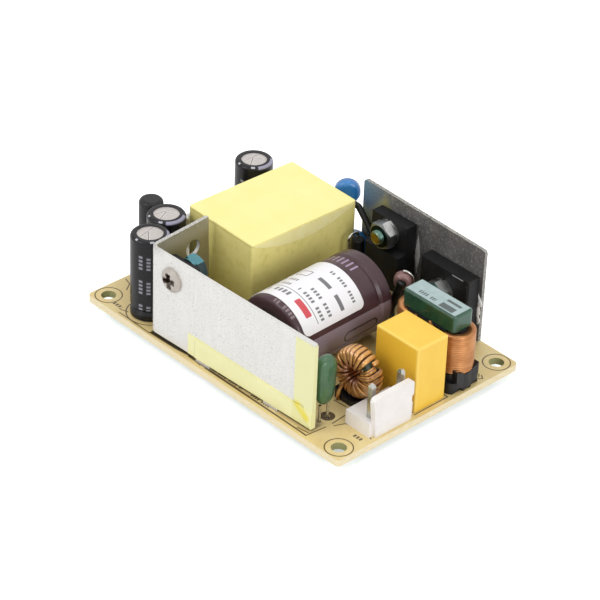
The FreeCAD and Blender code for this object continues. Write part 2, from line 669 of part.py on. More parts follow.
def device_body(width, height, thickness, hole_from_top, tab_height=0.0, tab_thickness=0.0):
    """A moulded package, with a thinner tab at its top where one is given."""
    depth = -thickness
    outline = [V(0, 0, 0), V(0, depth, 0), V(0, depth, height), V(0, 0, height)]
    if tab_height:
        outline = [V(0, 0, 0), V(0, depth, 0), V(0, depth, height - tab_height),
                   V(0, -tab_thickness, height - tab_height + DEVICE_EDGE), V(0, -tab_thickness, height),
                   V(0, 0, height)]
    body = moved(prism(outline, V(width, 0, 0)), V(-width / 2, 0, 0))
    body = body.makeChamfer(DEVICE_EDGE, [edge for edge in body.Edges
                                          if upright(edge) and edge.BoundBox.YMax < depth + FIT_GAP])
    return body.cut(cylinder(SCREW_HOLE_RADIUS, thickness, V(0, depth, height - hole_from_top), ALONG_Y))


def insulating_pad(width, height, hole_from_top):
    """A thin pad between a device and its heat sink, with the screw's bore."""
    inner = width - 2 * PAD_MARGIN
    pad = Part.makeBox(inner, PAD_THICKNESS, height - 2 * PAD_MARGIN, V(-inner / 2, 0, PAD_MARGIN))
    return pad.cut(cylinder(SCREW_HOLE_RADIUS, PAD_THICKNESS, V(0, 0, height - hole_from_top), ALONG_Y))


def flat_lead(drop, jog=0.0):
    """A flat lead that hangs from z = 0 by drop, stepping forwards by jog on its way."""
    half = DEVICE_LEAD_THICKNESS / 2
    bend = -MIDDLE_LEAD_DROP
    points = [V(0, half, 0), V(0, half, -drop), V(0, -half, -drop), V(0, -half, 0)]
    if jog:
        points = [V(0, half, 0), V(0, half, bend), V(0, half - jog, bend - jog), V(0, half - jog, -drop),
                  V(0, -half - jog, -drop), V(0, -half - jog, bend - jog - half), V(0, -half, bend - half),
                  V(0, -half, 0)]
    return moved(prism(points, V(DEVICE_LEAD_WIDTH, 0, 0)), V(-DEVICE_LEAD_WIDTH / 2, 0, 0))


def device_leads(assembly, node, place, turn, thickness, count, pitch, jog=0.0):
    """The row of leads under a device whose foot is at place; the middle one of three steps out."""
    foot = place.z
    spin = FreeCAD.Rotation(UP, turn)
    for k in range(count):
        across = (k - (count - 1) / 2) * pitch
        step = jog if count % 2 and k == count // 2 else 0.0
        root = V(across, -thickness / 2, 0)
        lead = moved(flat_lead(foot + BOARD_THICKNESS, step), root)
        assembly.add(node, moved(lead, place, turn))
        hole = place + spin.multVec(root + V(0, -step, 0))
        assembly.drill(hole.x, hole.y, DEVICE_LEAD_WIDTH / 2)


def input_devices(assembly):
    """The switching transistor and the bridge rectifier on the input heat sink."""
    foot = TRANSISTOR_HOLE_HEIGHT + TRANSISTOR_HOLE_FROM_TOP - TRANSISTOR_HEIGHT
    place = V(transistor_x(), DEVICE_BACK, foot)
    body = device_body(TRANSISTOR_WIDTH, TRANSISTOR_HEIGHT, TRANSISTOR_THICKNESS, TRANSISTOR_HOLE_FROM_TOP,
                       TRANSISTOR_TAB_HEIGHT, TRANSISTOR_TAB_THICKNESS)
    assembly.add("switching_transistor", moved(body, place))
    device_leads(assembly, "switching_transistor_leads", place, 0, TRANSISTOR_THICKNESS,
                 TRANSISTOR_LEAD_COUNT, TRANSISTOR_PITCH, MIDDLE_LEAD_JOG)
    pad = insulating_pad(TRANSISTOR_WIDTH, TRANSISTOR_HEIGHT, TRANSISTOR_HOLE_FROM_TOP)
    assembly.add("insulating_pads", moved(pad, place))
    fasten(assembly, V(transistor_x(), INPUT_SINK_OUTER, TRANSISTOR_HOLE_HEIGHT),
           SHEET + PAD_THICKNESS + TRANSISTOR_TAB_THICKNESS, TOWARDS_NEAR, TRANSISTOR_NUT_TURN)

    foot = BRIDGE_HOLE_HEIGHT + BRIDGE_HOLE_FROM_TOP - BRIDGE_HEIGHT
    place = V(bridge_x(), DEVICE_BACK, foot)
    body = device_body(BRIDGE_WIDTH, BRIDGE_HEIGHT, BRIDGE_THICKNESS, BRIDGE_HOLE_FROM_TOP)
    assembly.add("bridge_rectifier", moved(body, place))
    device_leads(assembly, "bridge_rectifier_leads", place, 0, BRIDGE_THICKNESS, BRIDGE_LEAD_COUNT,
                 BRIDGE_PITCH)
    pad = insulating_pad(BRIDGE_WIDTH, BRIDGE_HEIGHT, BRIDGE_HOLE_FROM_TOP)
    assembly.add("insulating_pads", moved(pad, place))
    fasten(assembly, V(bridge_x(), INPUT_SINK_OUTER, BRIDGE_HOLE_HEIGHT),
           SHEET + PAD_THICKNESS + BRIDGE_THICKNESS, TOWARDS_NEAR, BRIDGE_NUT_TURN)


def output_device(assembly):
    """The output rectifier inside the corner of the output heat sink."""
    foot = RECTIFIER_HOLE_HEIGHT + RECTIFIER_HOLE_FROM_TOP - RECTIFIER_HEIGHT
    turn = 180 + OUTPUT_SINK_SKEW
    place = along_output_sink(RECTIFIER_ALONG, SHEET + PAD_THICKNESS, foot)
    body = device_body(RECTIFIER_WIDTH, RECTIFIER_HEIGHT, RECTIFIER_THICKNESS, RECTIFIER_HOLE_FROM_TOP)
    assembly.add("output_rectifier", moved(body, place, turn))
    device_leads(assembly, "output_rectifier_leads", place, turn, RECTIFIER_THICKNESS,
                 RECTIFIER_LEAD_COUNT, RECTIFIER_PITCH)
    pad = insulating_pad(RECTIFIER_WIDTH, RECTIFIER_HEIGHT, RECTIFIER_HOLE_FROM_TOP)
    assembly.add("insulating_pads", moved(pad, place, turn))
    fasten(assembly, along_output_sink(RECTIFIER_ALONG, 0, RECTIFIER_HOLE_HEIGHT),
           SHEET + PAD_THICKNESS + RECTIFIER_THICKNESS, OUTPUT_SINK_SKEW - TOWARDS_NEAR, RECTIFIER_NUT_TURN)


# Transformer, built about its own middle and then turned

def core_half(side):
    """One E-shaped half of the core; side is -1 for the near half and 1 for the far one."""
    half_width = TRANSFORMER_WIDTH / 2 - WRAP_WALL - FIT_GAP
    half_length = TRANSFORMER_LENGTH / 2 - WRAP_WALL - FIT_GAP
    window_end = half_length - CORE_BACK
    leg = half_width - CORE_OUTER_LEG
    post = CORE_CENTRE_LEG / 2
    bottom = CORE_MIDDLE_HEIGHT - CORE_DEPTH / 2
    outline = [(-half_width, 0), (-half_width, half_length), (half_width, half_length), (half_width, 0),
               (leg, 0), (leg, window_end), (post, window_end), (post, 0),
               (-post, 0), (-post, window_end), (-leg, window_end), (-leg, 0)]
    points = [V(x, side * y, bottom) for x, y in outline]
    return prism(points, V(0, 0, CORE_DEPTH))


def transformer_bobbin():
    """The spool with its end flanges and the two rails that hold the pins."""
    window_end = TRANSFORMER_LENGTH / 2 - WRAP_WALL - 2 * FIT_GAP - CORE_BACK
    inner = CORE_CENTRE_LEG + 2 * FIT_GAP
    inner_depth = CORE_DEPTH + 2 * FIT_GAP
    across = inner + 2 * BOBBIN_WALL
    bottom = CORE_MIDDLE_HEIGHT - inner_depth / 2
    spool = block(0, 0, bottom - BOBBIN_WALL, across, 2 * window_end, inner_depth + 2 * BOBBIN_WALL)
    pieces = [spool]
    flange_width = TRANSFORMER_WIDTH - 2 * (WRAP_WALL + CORE_OUTER_LEG + 2 * FIT_GAP)
    rail_width = TRANSFORMER_WIDTH - 2 * (WRAP_WALL + FIT_GAP)
    rail_end = TRANSFORMER_LENGTH / 2 - WRAP_WALL - FIT_GAP
    flange_top = CORE_MIDDLE_HEIGHT + BOBBIN_FLANGE_HEIGHT / 2
    for side in (-1, 1):
        flange_y = side * (window_end - BOBBIN_WALL / 2)
        pieces.append(block(0, flange_y, TRANSFORMER_STANDOFF, flange_width, BOBBIN_WALL,
                            flange_top - TRANSFORMER_STANDOFF))
        rail_start = window_end - BOBBIN_WALL
        pieces.append(block(0, side * (rail_start + rail_end) / 2, TRANSFORMER_STANDOFF, rail_width,
                            rail_end - rail_start, BOBBIN_RAIL_HEIGHT))
    bore = block(0, 0, bottom, inner, TRANSFORMER_LENGTH, inner_depth)
    return fused(pieces).cut(bore)


def transformer_winding():
    """The turns round the spool, as one rounded coil."""
    length = TRANSFORMER_LENGTH - 2 * (WRAP_WALL + 3 * FIT_GAP + CORE_BACK + BOBBIN_WALL)
    inner = CORE_CENTRE_LEG + 2 * (BOBBIN_WALL + 2 * FIT_GAP)
    inner_depth = CORE_DEPTH + 2 * (BOBBIN_WALL + 2 * FIT_GAP)
    outer = TRANSFORMER_WIDTH - 2 * (WRAP_WALL + CORE_OUTER_LEG + 2 * FIT_GAP)
    half_height = TRANSFORMER_TOP - COIL_FROM_TOP - CORE_MIDDLE_HEIGHT
    coil = block(0, 0, CORE_MIDDLE_HEIGHT - half_height, outer, length, 2 * half_height)
    coil = rounded(coil, COIL_EDGE, lambda edge: edge.BoundBox.YLength > length - FIT_GAP)
    return coil.cut(block(0, 0, CORE_MIDDLE_HEIGHT - inner_depth / 2, inner, length, inner_depth))


def transformer_wrap():
    """The yellow tape round the whole transformer, open underneath."""
    height = TRANSFORMER_TOP - TRANSFORMER_STANDOFF
    shell = block(0, 0, TRANSFORMER_STANDOFF, TRANSFORMER_WIDTH, TRANSFORMER_LENGTH, height)
    shell = rounded(shell, WRAP_CORNER_RADIUS, upright)
    shell = rounded(shell, WRAP_TOP_RADIUS, at_height(TRANSFORMER_TOP))
    cavity = block(0, 0, TRANSFORMER_STANDOFF, TRANSFORMER_WIDTH - 2 * WRAP_WALL,
                   TRANSFORMER_LENGTH - 2 * WRAP_WALL, height - WRAP_WALL)
    return shell.cut(cavity)


def transformer(assembly):
    """The transformer's pieces and its two rows of pins."""
    place = V((TRANSFORMER_FROM_LEFT + TRANSFORMER_RIGHT) / 2, (TRANSFORMER_FROM_NEAR + TRANSFORMER_FAR) / 2, 0)
    pieces = {"transformer_wrap": transformer_wrap(), "transformer_core_near": core_half(-1),
              "transformer_core_far": core_half(1), "transformer_bobbin": transformer_bobbin(),
              "transformer_winding": transformer_winding()}
    pieces["transformer_core_near"] = moved(pieces["transformer_core_near"], V(0, -FIT_GAP / 2, 0))
    pieces["transformer_core_far"] = moved(pieces["transformer_core_far"], V(0, FIT_GAP / 2, 0))
    for node, solid in pieces.items():
        assembly.add(node, moved(solid, place, TRANSFORMER_TURN))
    spin = FreeCAD.Rotation(UP, TRANSFORMER_TURN)
    pitch = (TRANSFORMER_WIDTH - 2 * TRANSFORMER_PIN_MARGIN) / (TRANSFORMER_PIN_COUNT - 1)
    for side in (-1, 1):
        for k in range(TRANSFORMER_PIN_COUNT):
            across = (k - (TRANSFORMER_PIN_COUNT - 1) / 2) * pitch
            row = side * (TRANSFORMER_LENGTH / 2 - TRANSFORMER_PIN_INSET)
            pin = place + spin.multVec(V(across, row, 0))
            assembly.pin("transformer_pins", pin.x, pin.y, TRANSFORMER_STANDOFF)


# Electrolytic capacitors, built standing on z = 0

def can_outline(radius, bottom, top, edge, groove_height, groove_depth):
    """A can turned with a rolled groove near its foot and a rounded top edge."""
    low = groove_height - GROOVE_HALF_WIDTH
    high = groove_height + GROOVE_HALF_WIDTH
    points = [(0, bottom), (radius, bottom), (radius, low), (radius - groove_depth, groove_height),
              (radius, high), (radius, top), (0, top)]
    return rounded(turned_profile(points), edge, at_height(top))


def electrolytic(radius, height, disc, edge, groove_height, groove_depth):
    """The sleeve, can and bung of one capacitor, as solids about the z axis."""
    inner = radius - CAN_SLEEVE_WALL
    top = height - CAN_SLEEVE_WALL
    sleeve = can_outline(radius, SEAT_GAP, height, edge, groove_height, groove_depth)
    hollow = can_outline(inner, SEAT_GAP + CAN_SLEEVE_WALL, top, edge - CAN_SLEEVE_WALL, groove_height,
                         groove_depth)
    mouth = cylinder(disc, height, V(0, 0, 0))
    sleeve = sleeve.cut(hollow).cut(mouth).Solids[0]
    can = can_outline(inner - FIT_GAP, SEAT_GAP + CAN_SLEEVE_WALL + FIT_GAP, top - FIT_GAP,
                      edge - CAN_SLEEVE_WALL, groove_height, groove_depth)
    bung_radius = disc - BUNG_MARGIN
    seat = cylinder(bung_radius + FIT_GAP, BUNG_DEPTH, V(0, 0, 0))
    bung = cylinder(bung_radius, BUNG_DEPTH, V(0, 0, 0))
    return sleeve, can.cut(seat), bung


def output_capacitors(assembly):
    """Three standing capacitors at the output end."""
    connector_end = OUTPUT_CONNECTOR_FROM_NEAR + connector_length(OUTPUT_CONNECTOR_WAY_COUNT)
    far = (THIRD_CAPACITOR_FROM_LEFT, connector_end + THIRD_CAPACITOR_FROM_CONNECTOR + OUTPUT_CAPACITOR_RADIUS)
    for name, (x, y) in (("first", FIRST_CAPACITOR), ("second", SECOND_CAPACITOR), ("third", far)):
        sleeve, can, bung = electrolytic(OUTPUT_CAPACITOR_RADIUS, OUTPUT_CAPACITOR_HEIGHT,
                                         OUTPUT_CAPACITOR_DISC_RADIUS, OUTPUT_CAPACITOR_EDGE,
                                         OUTPUT_CAPACITOR_GROOVE_HEIGHT, OUTPUT_CAPACITOR_GROOVE_DEPTH)
        assembly.add("output_capacitor_" + name + "_sleeve", moved(sleeve, V(x, y, 0)))
        assembly.add("output_capacitor_" + name + "_can", moved(can, V(x, y, 0)))
        assembly.add("output_capacitor_bungs", moved(bung, V(x, y, 0)))
        for side in (-1, 1):
            lead_y = y + side * OUTPUT_CAPACITOR_PITCH / 2
            assembly.lead("output_capacitor_leads", x, lead_y, 0, THIN_WIRE_RADIUS)


def bulk_capacitor(assembly):
    """The large capacitor lying on the board, its leads bent down at its far end."""
    far_end = BULK_FROM_NEAR + BULK_LENGTH
    place = V(BULK_X, far_end, BULK_HEIGHT)
    middle = V(BULK_X, BULK_FROM_NEAR + BULK_LENGTH / 2, 0)

    def laid(shape):
        """Lays a standing shape along the board, its top towards the near edge."""
        flat = moved(moved(shape, V(0, 0, 0), 90, ALONG_X), place - middle)
        return moved(flat, middle, BULK_SKEW)

    sleeve, can, bung = electrolytic(BULK_RADIUS, BULK_LENGTH, BULK_DISC_RADIUS, BULK_EDGE,
                                     BULK_GROOVE_HEIGHT, BULK_GROOVE_DEPTH)
    assembly.add("bulk_capacitor_sleeve", laid(sleeve))
    assembly.add("bulk_capacitor_can", laid(can))
    assembly.add("bulk_capacitor_bung", laid(bung))
    spin = FreeCAD.Rotation(UP, BULK_SKEW)
    for side in (-1, 1):
        root = middle + spin.multVec(place + V(side * BULK_PITCH / 2, 0, 0) - middle)
        knee = middle + spin.multVec(place + V(side * BULK_PITCH / 2, BULK_LEAD_REACH, 0) - middle)
        foot = V(knee.x, knee.y, -BOARD_THICKNESS)
        assembly.add("bulk_capacitor_leads", round_wire([root, knee, foot], THICK_WIRE_RADIUS))
        assembly.drill(foot.x, foot.y, THICK_WIRE_RADIUS)
    assembly.add("bulk_capacitor_label", laid(curved_label()))


def curved_label():
    """The rating label: a sheet bent round the sleeve, with rounded corners on its long side."""
    inner = BULK_RADIUS + FIT_GAP
    sheet = turned_profile([(inner, BULK_LENGTH - LABEL_FROM_TOP - LABEL_LENGTH),
                            (inner + LABEL_THICKNESS, BULK_LENGTH - LABEL_FROM_TOP - LABEL_LENGTH),
                            (inner + LABEL_THICKNESS, BULK_LENGTH - LABEL_FROM_TOP),
                            (inner, BULK_LENGTH - LABEL_FROM_TOP)])
    reach = 2 * BULK_RADIUS
    corners = [V(0, 0, 0)]
    for k in range(LABEL_STEP_COUNT + 1):
        angle = math.radians(LABEL_START_ANGLE + LABEL_SWEEP * k / LABEL_STEP_COUNT)
        corners.append(V(reach * math.cos(angle), -reach * math.sin(angle), 0))
    wedge = prism(corners, V(0, 0, BULK_LENGTH))
    return sheet.common(wedge)


def rod_inductor(assembly):
    """A sleeved rod choke standing beside the output capacitors."""
    x, y = ROD_PLACE
    body = cylinder(ROD_RADIUS, ROD_TOP - ROD_STANDOFF, V(x, y, ROD_STANDOFF))
    body = rounded(body, ROD_SHOULDER, at_height(ROD_TOP))
    assembly.add("rod_inductor", body)
    for side in (-1, 1):
        assembly.lead("rod_inductor_leads", x, y + side * ROD_PITCH / 2, ROD_STANDOFF)


# Connectors, built with their locking wall's outer face on x = 0 and their body towards -x

def connector_length(ways):
    """The length of a housing for a number of pin places."""
    return (ways - 1) * CONNECTOR_PITCH + 2 * CONNECTOR_END_MARGIN


def connector_housing(ways):
    """The moulded base and the locking wall with its lug and key."""
    length = connector_length(ways)
    base = Part.makeBox(CONNECTOR_BASE_DEPTH, length, CONNECTOR_BASE_HEIGHT,
                        V(-CONNECTOR_WALL_STEP - CONNECTOR_BASE_DEPTH, 0, 0))
    near, far = CONNECTOR_WALL_INSET, length - CONNECTOR_WALL_INSET
    lug = CONNECTOR_WALL_HEIGHT - CONNECTOR_LUG_HEIGHT
    outline = [V(0, near, 0), V(0, near - CONNECTOR_WALL_FLARE, CONNECTOR_WALL_HEIGHT),
               V(0, far + CONNECTOR_LUG_REACH, CONNECTOR_WALL_HEIGHT),
               V(0, far + CONNECTOR_LUG_REACH, lug), V(0, far, lug - CONNECTOR_LUG_REACH), V(0, far, 0)]
    wall = prism(outline, V(-CONNECTOR_WALL_THICKNESS, 0, 0))
    wall = rounded(wall, CONNECTOR_CORNER_RADIUS,
                   lambda edge: edge.BoundBox.XLength > CONNECTOR_WALL_THICKNESS - FIT_GAP
                   and edge.BoundBox.ZMin > CONNECTOR_WALL_HEIGHT - FIT_GAP)
    key = block(-CONNECTOR_WALL_THICKNESS - CONNECTOR_KEY_SIZE / 2 + FIT_GAP, length / 2, 0,
                CONNECTOR_KEY_SIZE, CONNECTOR_KEY_SIZE, CONNECTOR_KEY_HEIGHT)
    return fused([base, wall, key])


def connector_pin():
    """A square pin with a tapered tip, its middle on the z axis."""
    half = CONNECTOR_PIN_SIDE / 2
    tip = half / 2
    shoulder = CONNECTOR_PIN_TOP - CONNECTOR_PIN_TAPER
    shaft = block(0, 0, -BOARD_THICKNESS, CONNECTOR_PIN_SIDE, CONNECTOR_PIN_SIDE, shoulder + BOARD_THICKNESS)
    rims = [Part.makePolygon([V(-r, -r, z), V(r, -r, z), V(r, r, z), V(-r, r, z), V(-r, -r, z)])
            for r, z in ((half, shoulder), (tip, CONNECTOR_PIN_TOP))]
    return shaft.fuse(Part.makeLoft(rims, True, True)).removeSplitter()


def connector(assembly, name, edge_x, from_near, ways, indexes, facing):
    """A connector at a board end; facing is 0 at the right end and 180 at the left end."""
    housing = connector_housing(ways)
    origin = V(edge_x, from_near + (connector_length(ways) if facing else 0), 0)
    spin = FreeCAD.Rotation(UP, facing)
    for way in indexes:
        pin = V(-CONNECTOR_PIN_FROM_WALL, CONNECTOR_END_MARGIN + way * CONNECTOR_PITCH, 0)
        bore = block(pin.x, pin.y, 0, CONNECTOR_PIN_SIDE + FIT_GAP, CONNECTOR_PIN_SIDE + FIT_GAP,
                     CONNECTOR_WALL_HEIGHT)
        housing = housing.cut(bore)
        spot = origin + spin.multVec(pin)
        assembly.add(name + "_pins", moved(connector_pin(), spot))
        assembly.drill(spot.x, spot.y, CONNECTOR_PIN_SIDE / math.sqrt(2))
    assembly.add(name + "_housing", moved(housing, origin, facing))


def connectors(assembly):
    """The input connector at the right end and the output connector at the left end."""
    connector(assembly, "input_connector", BOARD_LENGTH - CONNECTOR_EDGE_GAP, INPUT_CONNECTOR_FROM_NEAR,
              INPUT_CONNECTOR_WAY_COUNT, INPUT_PIN_INDEXES, 0)
    connector(assembly, "output_connector", CONNECTOR_EDGE_GAP, OUTPUT_CONNECTOR_FROM_NEAR,
              OUTPUT_CONNECTOR_WAY_COUNT, OUTPUT_PIN_INDEXES, 180)


def safety_capacitor(assembly):
    """The yellow moulded box beside the input connector."""
    x = BOARD_LENGTH - SAFETY_FROM_RIGHT - SAFETY_LENGTH / 2
    near = INPUT_CONNECTOR_FROM_NEAR + connector_length(INPUT_CONNECTOR_WAY_COUNT) + SAFETY_FROM_CONNECTOR
    far = CHOKE_Y - CHOKE_BASE_WIDTH / 2 - SAFETY_FROM_CHOKE
    y = (near + far) / 2
    case = block(x, y, SAFETY_STANDOFF, SAFETY_LENGTH, far - near, SAFETY_HEIGHT)
    case = rounded(case, SAFETY_EDGE, lambda edge: edge.BoundBox.ZMax > SAFETY_STANDOFF + FIT_GAP)
    assembly.add("safety_capacitor", case)
    for side in (-1, 1):
        assembly.lead("safety_capacitor_leads", x + side * SAFETY_PITCH / 2, y, SAFETY_STANDOFF)


# Common mode choke, built about the z axis through its middle

def yoke(height):
    """A bar with rounded corners, lying along x with its foot at z = 0."""
    bar = block(0, 0, 0, CHOKE_CORE_LENGTH, CHOKE_YOKE_WIDTH, height)
    return rounded(bar, CHOKE_CORE_CORNER, upright)


def choke_axis(side, height=0.0):
    """A place on the axis of one winding; side is -1 for the left one and 1 for the right one."""
    return V(side * CHOKE_WINDING_OFFSET, 0, height)


def choke_core():
    """Two yokes joined by two round legs, as one closed core."""
    upper = rounded(yoke(CHOKE_UPPER_YOKE), CHOKE_YOKE_EDGE, at_height(CHOKE_UPPER_YOKE))
    foot = CHOKE_FLOOR + FIT_GAP
    pieces = [moved(upper, V(0, 0, CHOKE_YOKE_FOOT)), moved(yoke(CHOKE_LOWER_YOKE), V(0, 0, foot))]
    length = CHOKE_CORE_TOP - CHOKE_UPPER_YOKE / 2 - foot
    pieces += [cylinder(CHOKE_LEG_RADIUS, length, choke_axis(side, foot)) for side in (-1, 1)]
    return fused(pieces)


def choke_lip(side):
    """The raised rim of the base that cradles the outer half of one winding."""
    centre = choke_axis(side, CHOKE_STEP_HEIGHT)
    height = CHOKE_LIP_TOP - CHOKE_STEP_HEIGHT
    lip = cylinder(CHOKE_LIP_RADIUS, height, centre)
    reach = CHOKE_BASE_LENGTH / 2 - CHOKE_WINDING_OFFSET
    room = block(centre.x + side * reach / 2, 0, CHOKE_STEP_HEIGHT, reach, CHOKE_LIP_WIDTH, height)
    sag = (CHOKE_LIP_WIDTH ** 2 / 4 + CHOKE_LIP_DIP ** 2) / (2 * CHOKE_LIP_DIP)
    foot = V(-CHOKE_BASE_LENGTH / 2, 0, CHOKE_LIP_TOP - CHOKE_LIP_DIP + sag)
    return lip.common(room).cut(cylinder(sag, CHOKE_BASE_LENGTH, foot, ALONG_X))


def choke_spool():
    """The two winding tubes, the partition between them and the flange that closes them at the top."""
    height = CHOKE_SPOOL_TOP - CHOKE_FLOOR
    tubes = [cylinder(CHOKE_TUBE_RADIUS, height, choke_axis(side, CHOKE_FLOOR)) for side in (-1, 1)]
    partition = block(0, 0, CHOKE_FLOOR, CHOKE_PARTITION, CHOKE_TOP_FLANGE_WIDTH, height)
    flange = block(0, 0, CHOKE_WINDING_TOP + FIT_GAP, CHOKE_TOP_FLANGE_LENGTH, CHOKE_TOP_FLANGE_WIDTH,
                   CHOKE_TOP_FLANGE)
    return tubes + [partition, flange]


def choke_bobbin():
    """The base with its bed, cradling lips and arches, and the spool that stands on it."""
    base = block(0, 0, 0, CHOKE_BASE_LENGTH, CHOKE_BASE_WIDTH, CHOKE_STEP_HEIGHT)
    pieces = [rounded(base, CHOKE_BASE_CORNER, upright)] + choke_spool()
    for side in (-1, 1):
        centre = choke_axis(side, CHOKE_FLOOR)
        pieces.append(cylinder(CHOKE_WINDING_RADIUS, CHOKE_BASE_HEIGHT - CHOKE_FLOOR, centre))
        pieces.append(choke_lip(side))
    bed = block(0, 0, CHOKE_FLOOR, CHOKE_CORE_LENGTH + 2 * FIT_GAP, CHOKE_YOKE_WIDTH + 2 * FIT_GAP,
                CHOKE_LOWER_YOKE + 2 * FIT_GAP)
    tools = [bed, block(0, 0, 0, CHOKE_BASE_LENGTH, CHOKE_FOOT_SLOT, CHOKE_FLOOR / 2)]
    for side in (-1, 1):
        tools.append(cylinder(CHOKE_LEG_RADIUS + FIT_GAP, CHOKE_CORE_TOP, choke_axis(side, CHOKE_FLOOR)))
        room = cylinder(CHOKE_WINDING_RADIUS + FIT_GAP, CHOKE_WINDING_LENGTH + FIT_GAP,
                        choke_axis(side, CHOKE_BASE_HEIGHT))
        tools.append(room.cut(cylinder(CHOKE_TUBE_RADIUS, CHOKE_SPOOL_TOP, choke_axis(side))))
        for row in (-1, 1):
            wall = V(side * CHOKE_BASE_LENGTH / 2, row * CHOKE_ARCH_SPACING / 2, 0)
            tools.append(cylinder(CHOKE_ARCH_RADIUS, CHOKE_ARCH_DEPTH, wall, ALONG_X * -side))
    return fused(pieces).cut(tools).Solids[0]


def choke_winding(side):
    """One winding on its tube."""
    coil = cylinder(CHOKE_WINDING_RADIUS, CHOKE_WINDING_LENGTH, choke_axis(side, CHOKE_BASE_HEIGHT))
    coil = rounded(coil, CHOKE_WIRE_RADIUS, at_height(CHOKE_WINDING_TOP))
    return coil.cut(cylinder(CHOKE_TUBE_RADIUS + FIT_GAP, CHOKE_WINDING_TOP, choke_axis(side)))


def common_mode_choke(assembly):
    """The choke's core, base, windings, label and pins."""
    place = V(CHOKE_X, CHOKE_Y, 0)
    assembly.add("choke_core", moved(choke_core(), place))
    assembly.add("choke_bobbin", moved(choke_bobbin(), place))
    assembly.add("choke_winding_left", moved(choke_winding(-1), place))
    assembly.add("choke_winding_right", moved(choke_winding(1), place))
    border = 2 * (CHOKE_YOKE_EDGE + CHOKE_LABEL_MARGIN)
    label = block(0, 0, CHOKE_CORE_TOP, CHOKE_CORE_LENGTH - border, CHOKE_YOKE_WIDTH - border,
                  CHOKE_LABEL_THICKNESS)
    assembly.add("choke_label", moved(label, place))
    for i, winding in ((-1, "choke_winding_left"), (1, "choke_winding_right")):
        for j in (-1, 1):
            assembly.lead(winding, CHOKE_X + i * CHOKE_PIN_SPACING / 2, CHOKE_Y + j * CHOKE_PIN_ROWS / 2, 0)


# Toroid choke, built about the y axis through its core's middle

def toroid_turn(layer):
    """One closed turn of wire round the core's section, standing at positive x.

    A turn of the second layer passes further inside the hole, and rises over its
    neighbours of the first layer on its way there.
    """
    wire = TOROID_WIRE_RADIUS
    inner = TOROID_CORE_INNER - wire - layer * TOROID_SECOND_LAYER
    outer = TOROID_CORE_OUTER + wire
    half = TOROID_CORE_WIDTH / 2 + wire
    rise = half + layer * TOROID_CROSSING_RISE
    corners = [V(inner, rise, 0), V(outer, half, 0), V(outer, -half, 0), V(inner, -rise, 0)]
    ends = []
    edges = []
    for k in range(len(corners)):
        before, corner, after = corners[k - 1], corners[k], corners[(k + 1) % len(corners)]
        towards = (before - corner).normalize()
        away = (after - corner).normalize()
        turn = towards.getAngle(away) / 2
        reach = TOROID_BEND / math.tan(turn)
        depth = TOROID_BEND / math.sin(turn) - TOROID_BEND
        middle = corner + (towards + away).normalize() * depth
        edges.append(Part.Arc(corner + towards * reach, middle, corner + away * reach).toShape())
        ends.append((corner + towards * reach, corner + away * reach))
    for k in range(len(ends)):
        edges.insert(2 * k + 1, Part.makeLine(ends[k][1], ends[(k + 1) % len(ends)][0]))
    path = Part.Wire(edges)
    section = Part.Wire(Part.makeCircle(wire - FIT_GAP / 2, ends[0][0], ALONG_Y))
    return path.makePipeShell([section], True, False)


def toroid(assembly):
    """The core, its turns with a gap in them, and the saddle that it stands in."""
    place = V(TOROID_X, TOROID_FROM_NEAR, TOROID_HEIGHT)
    half = TOROID_CORE_WIDTH / 2
    core = cylinder(TOROID_CORE_OUTER - FIT_GAP, TOROID_CORE_WIDTH, V(0, -half, 0), ALONG_Y)
    core = core.cut(cylinder(TOROID_CORE_INNER + FIT_GAP, TOROID_CORE_WIDTH, V(0, -half, 0), ALONG_Y))
    core = rounded(core, TOROID_CORE_EDGE, lambda edge: edge.Curve.TypeId == "Part::GeomCircle")
    assembly.add("toroid_core", moved(core, place))
    turns = [toroid_turn(0), toroid_turn(1)]
    sweep = 360 - TOROID_GAP_SWEEP
    for k in range(TOROID_TURN_COUNT):
        angle = TOROID_GAP_ANGLE + TOROID_GAP_SWEEP / 2 + sweep * k / (TOROID_TURN_COUNT - 1)
        assembly.add("toroid_winding", moved(moved(turns[k % 2], V(0, 0, 0), -angle, ALONG_Y), place))
    saddle = block(TOROID_X, TOROID_FROM_NEAR, 0, TOROID_BASE_LENGTH, TOROID_BASE_WIDTH, TOROID_BASE_HEIGHT)
    reach = TOROID_CORE_OUTER + 2 * TOROID_WIRE_RADIUS + FIT_GAP
    bed = cylinder(reach, TOROID_BASE_WIDTH, place - V(0, TOROID_BASE_WIDTH / 2, 0), ALONG_Y)
    assembly.add("toroid_base", saddle.cut(bed))
    for side in (-1, 1):
        assembly.lead("toroid_winding", TOROID_X + side * TOROID_LEAD_SPREAD, TOROID_FROM_NEAR, 0)


def varistor(assembly):
    """The dipped body beside the output heat sink's free end."""
    x = BOARD_LENGTH - VARISTOR_FROM_RIGHT
    body = block(x, VARISTOR_FROM_NEAR, VARISTOR_BOTTOM, VARISTOR_THICKNESS, VARISTOR_WIDTH,
                 VARISTOR_TOP - VARISTOR_BOTTOM)
    for height, radius in ((VARISTOR_TOP, VARISTOR_SHOULDER), (VARISTOR_BOTTOM, VARISTOR_FOOT)):
        level = at_height(height)
        body = rounded(body, radius, lambda edge: level(edge) and edge.BoundBox.XLength > FIT_GAP)
    body = rounded(body, VARISTOR_EDGE, lambda edge: edge.BoundBox.XLength < FIT_GAP)
    assembly.add("varistor", body)
    for side in (-1, 1):
        y = VARISTOR_FROM_NEAR + side * VARISTOR_PITCH / 2
        assembly.lead("small_part_leads", x, y, VARISTOR_BOTTOM - FIT_GAP, THIN_WIRE_RADIUS)


def underside(radius, offset):
    """How far below a round body's middle a thin lead at an offset just reaches it."""
    return math.sqrt(radius ** 2 - (offset - THIN_WIRE_RADIUS) ** 2) + FIT_GAP


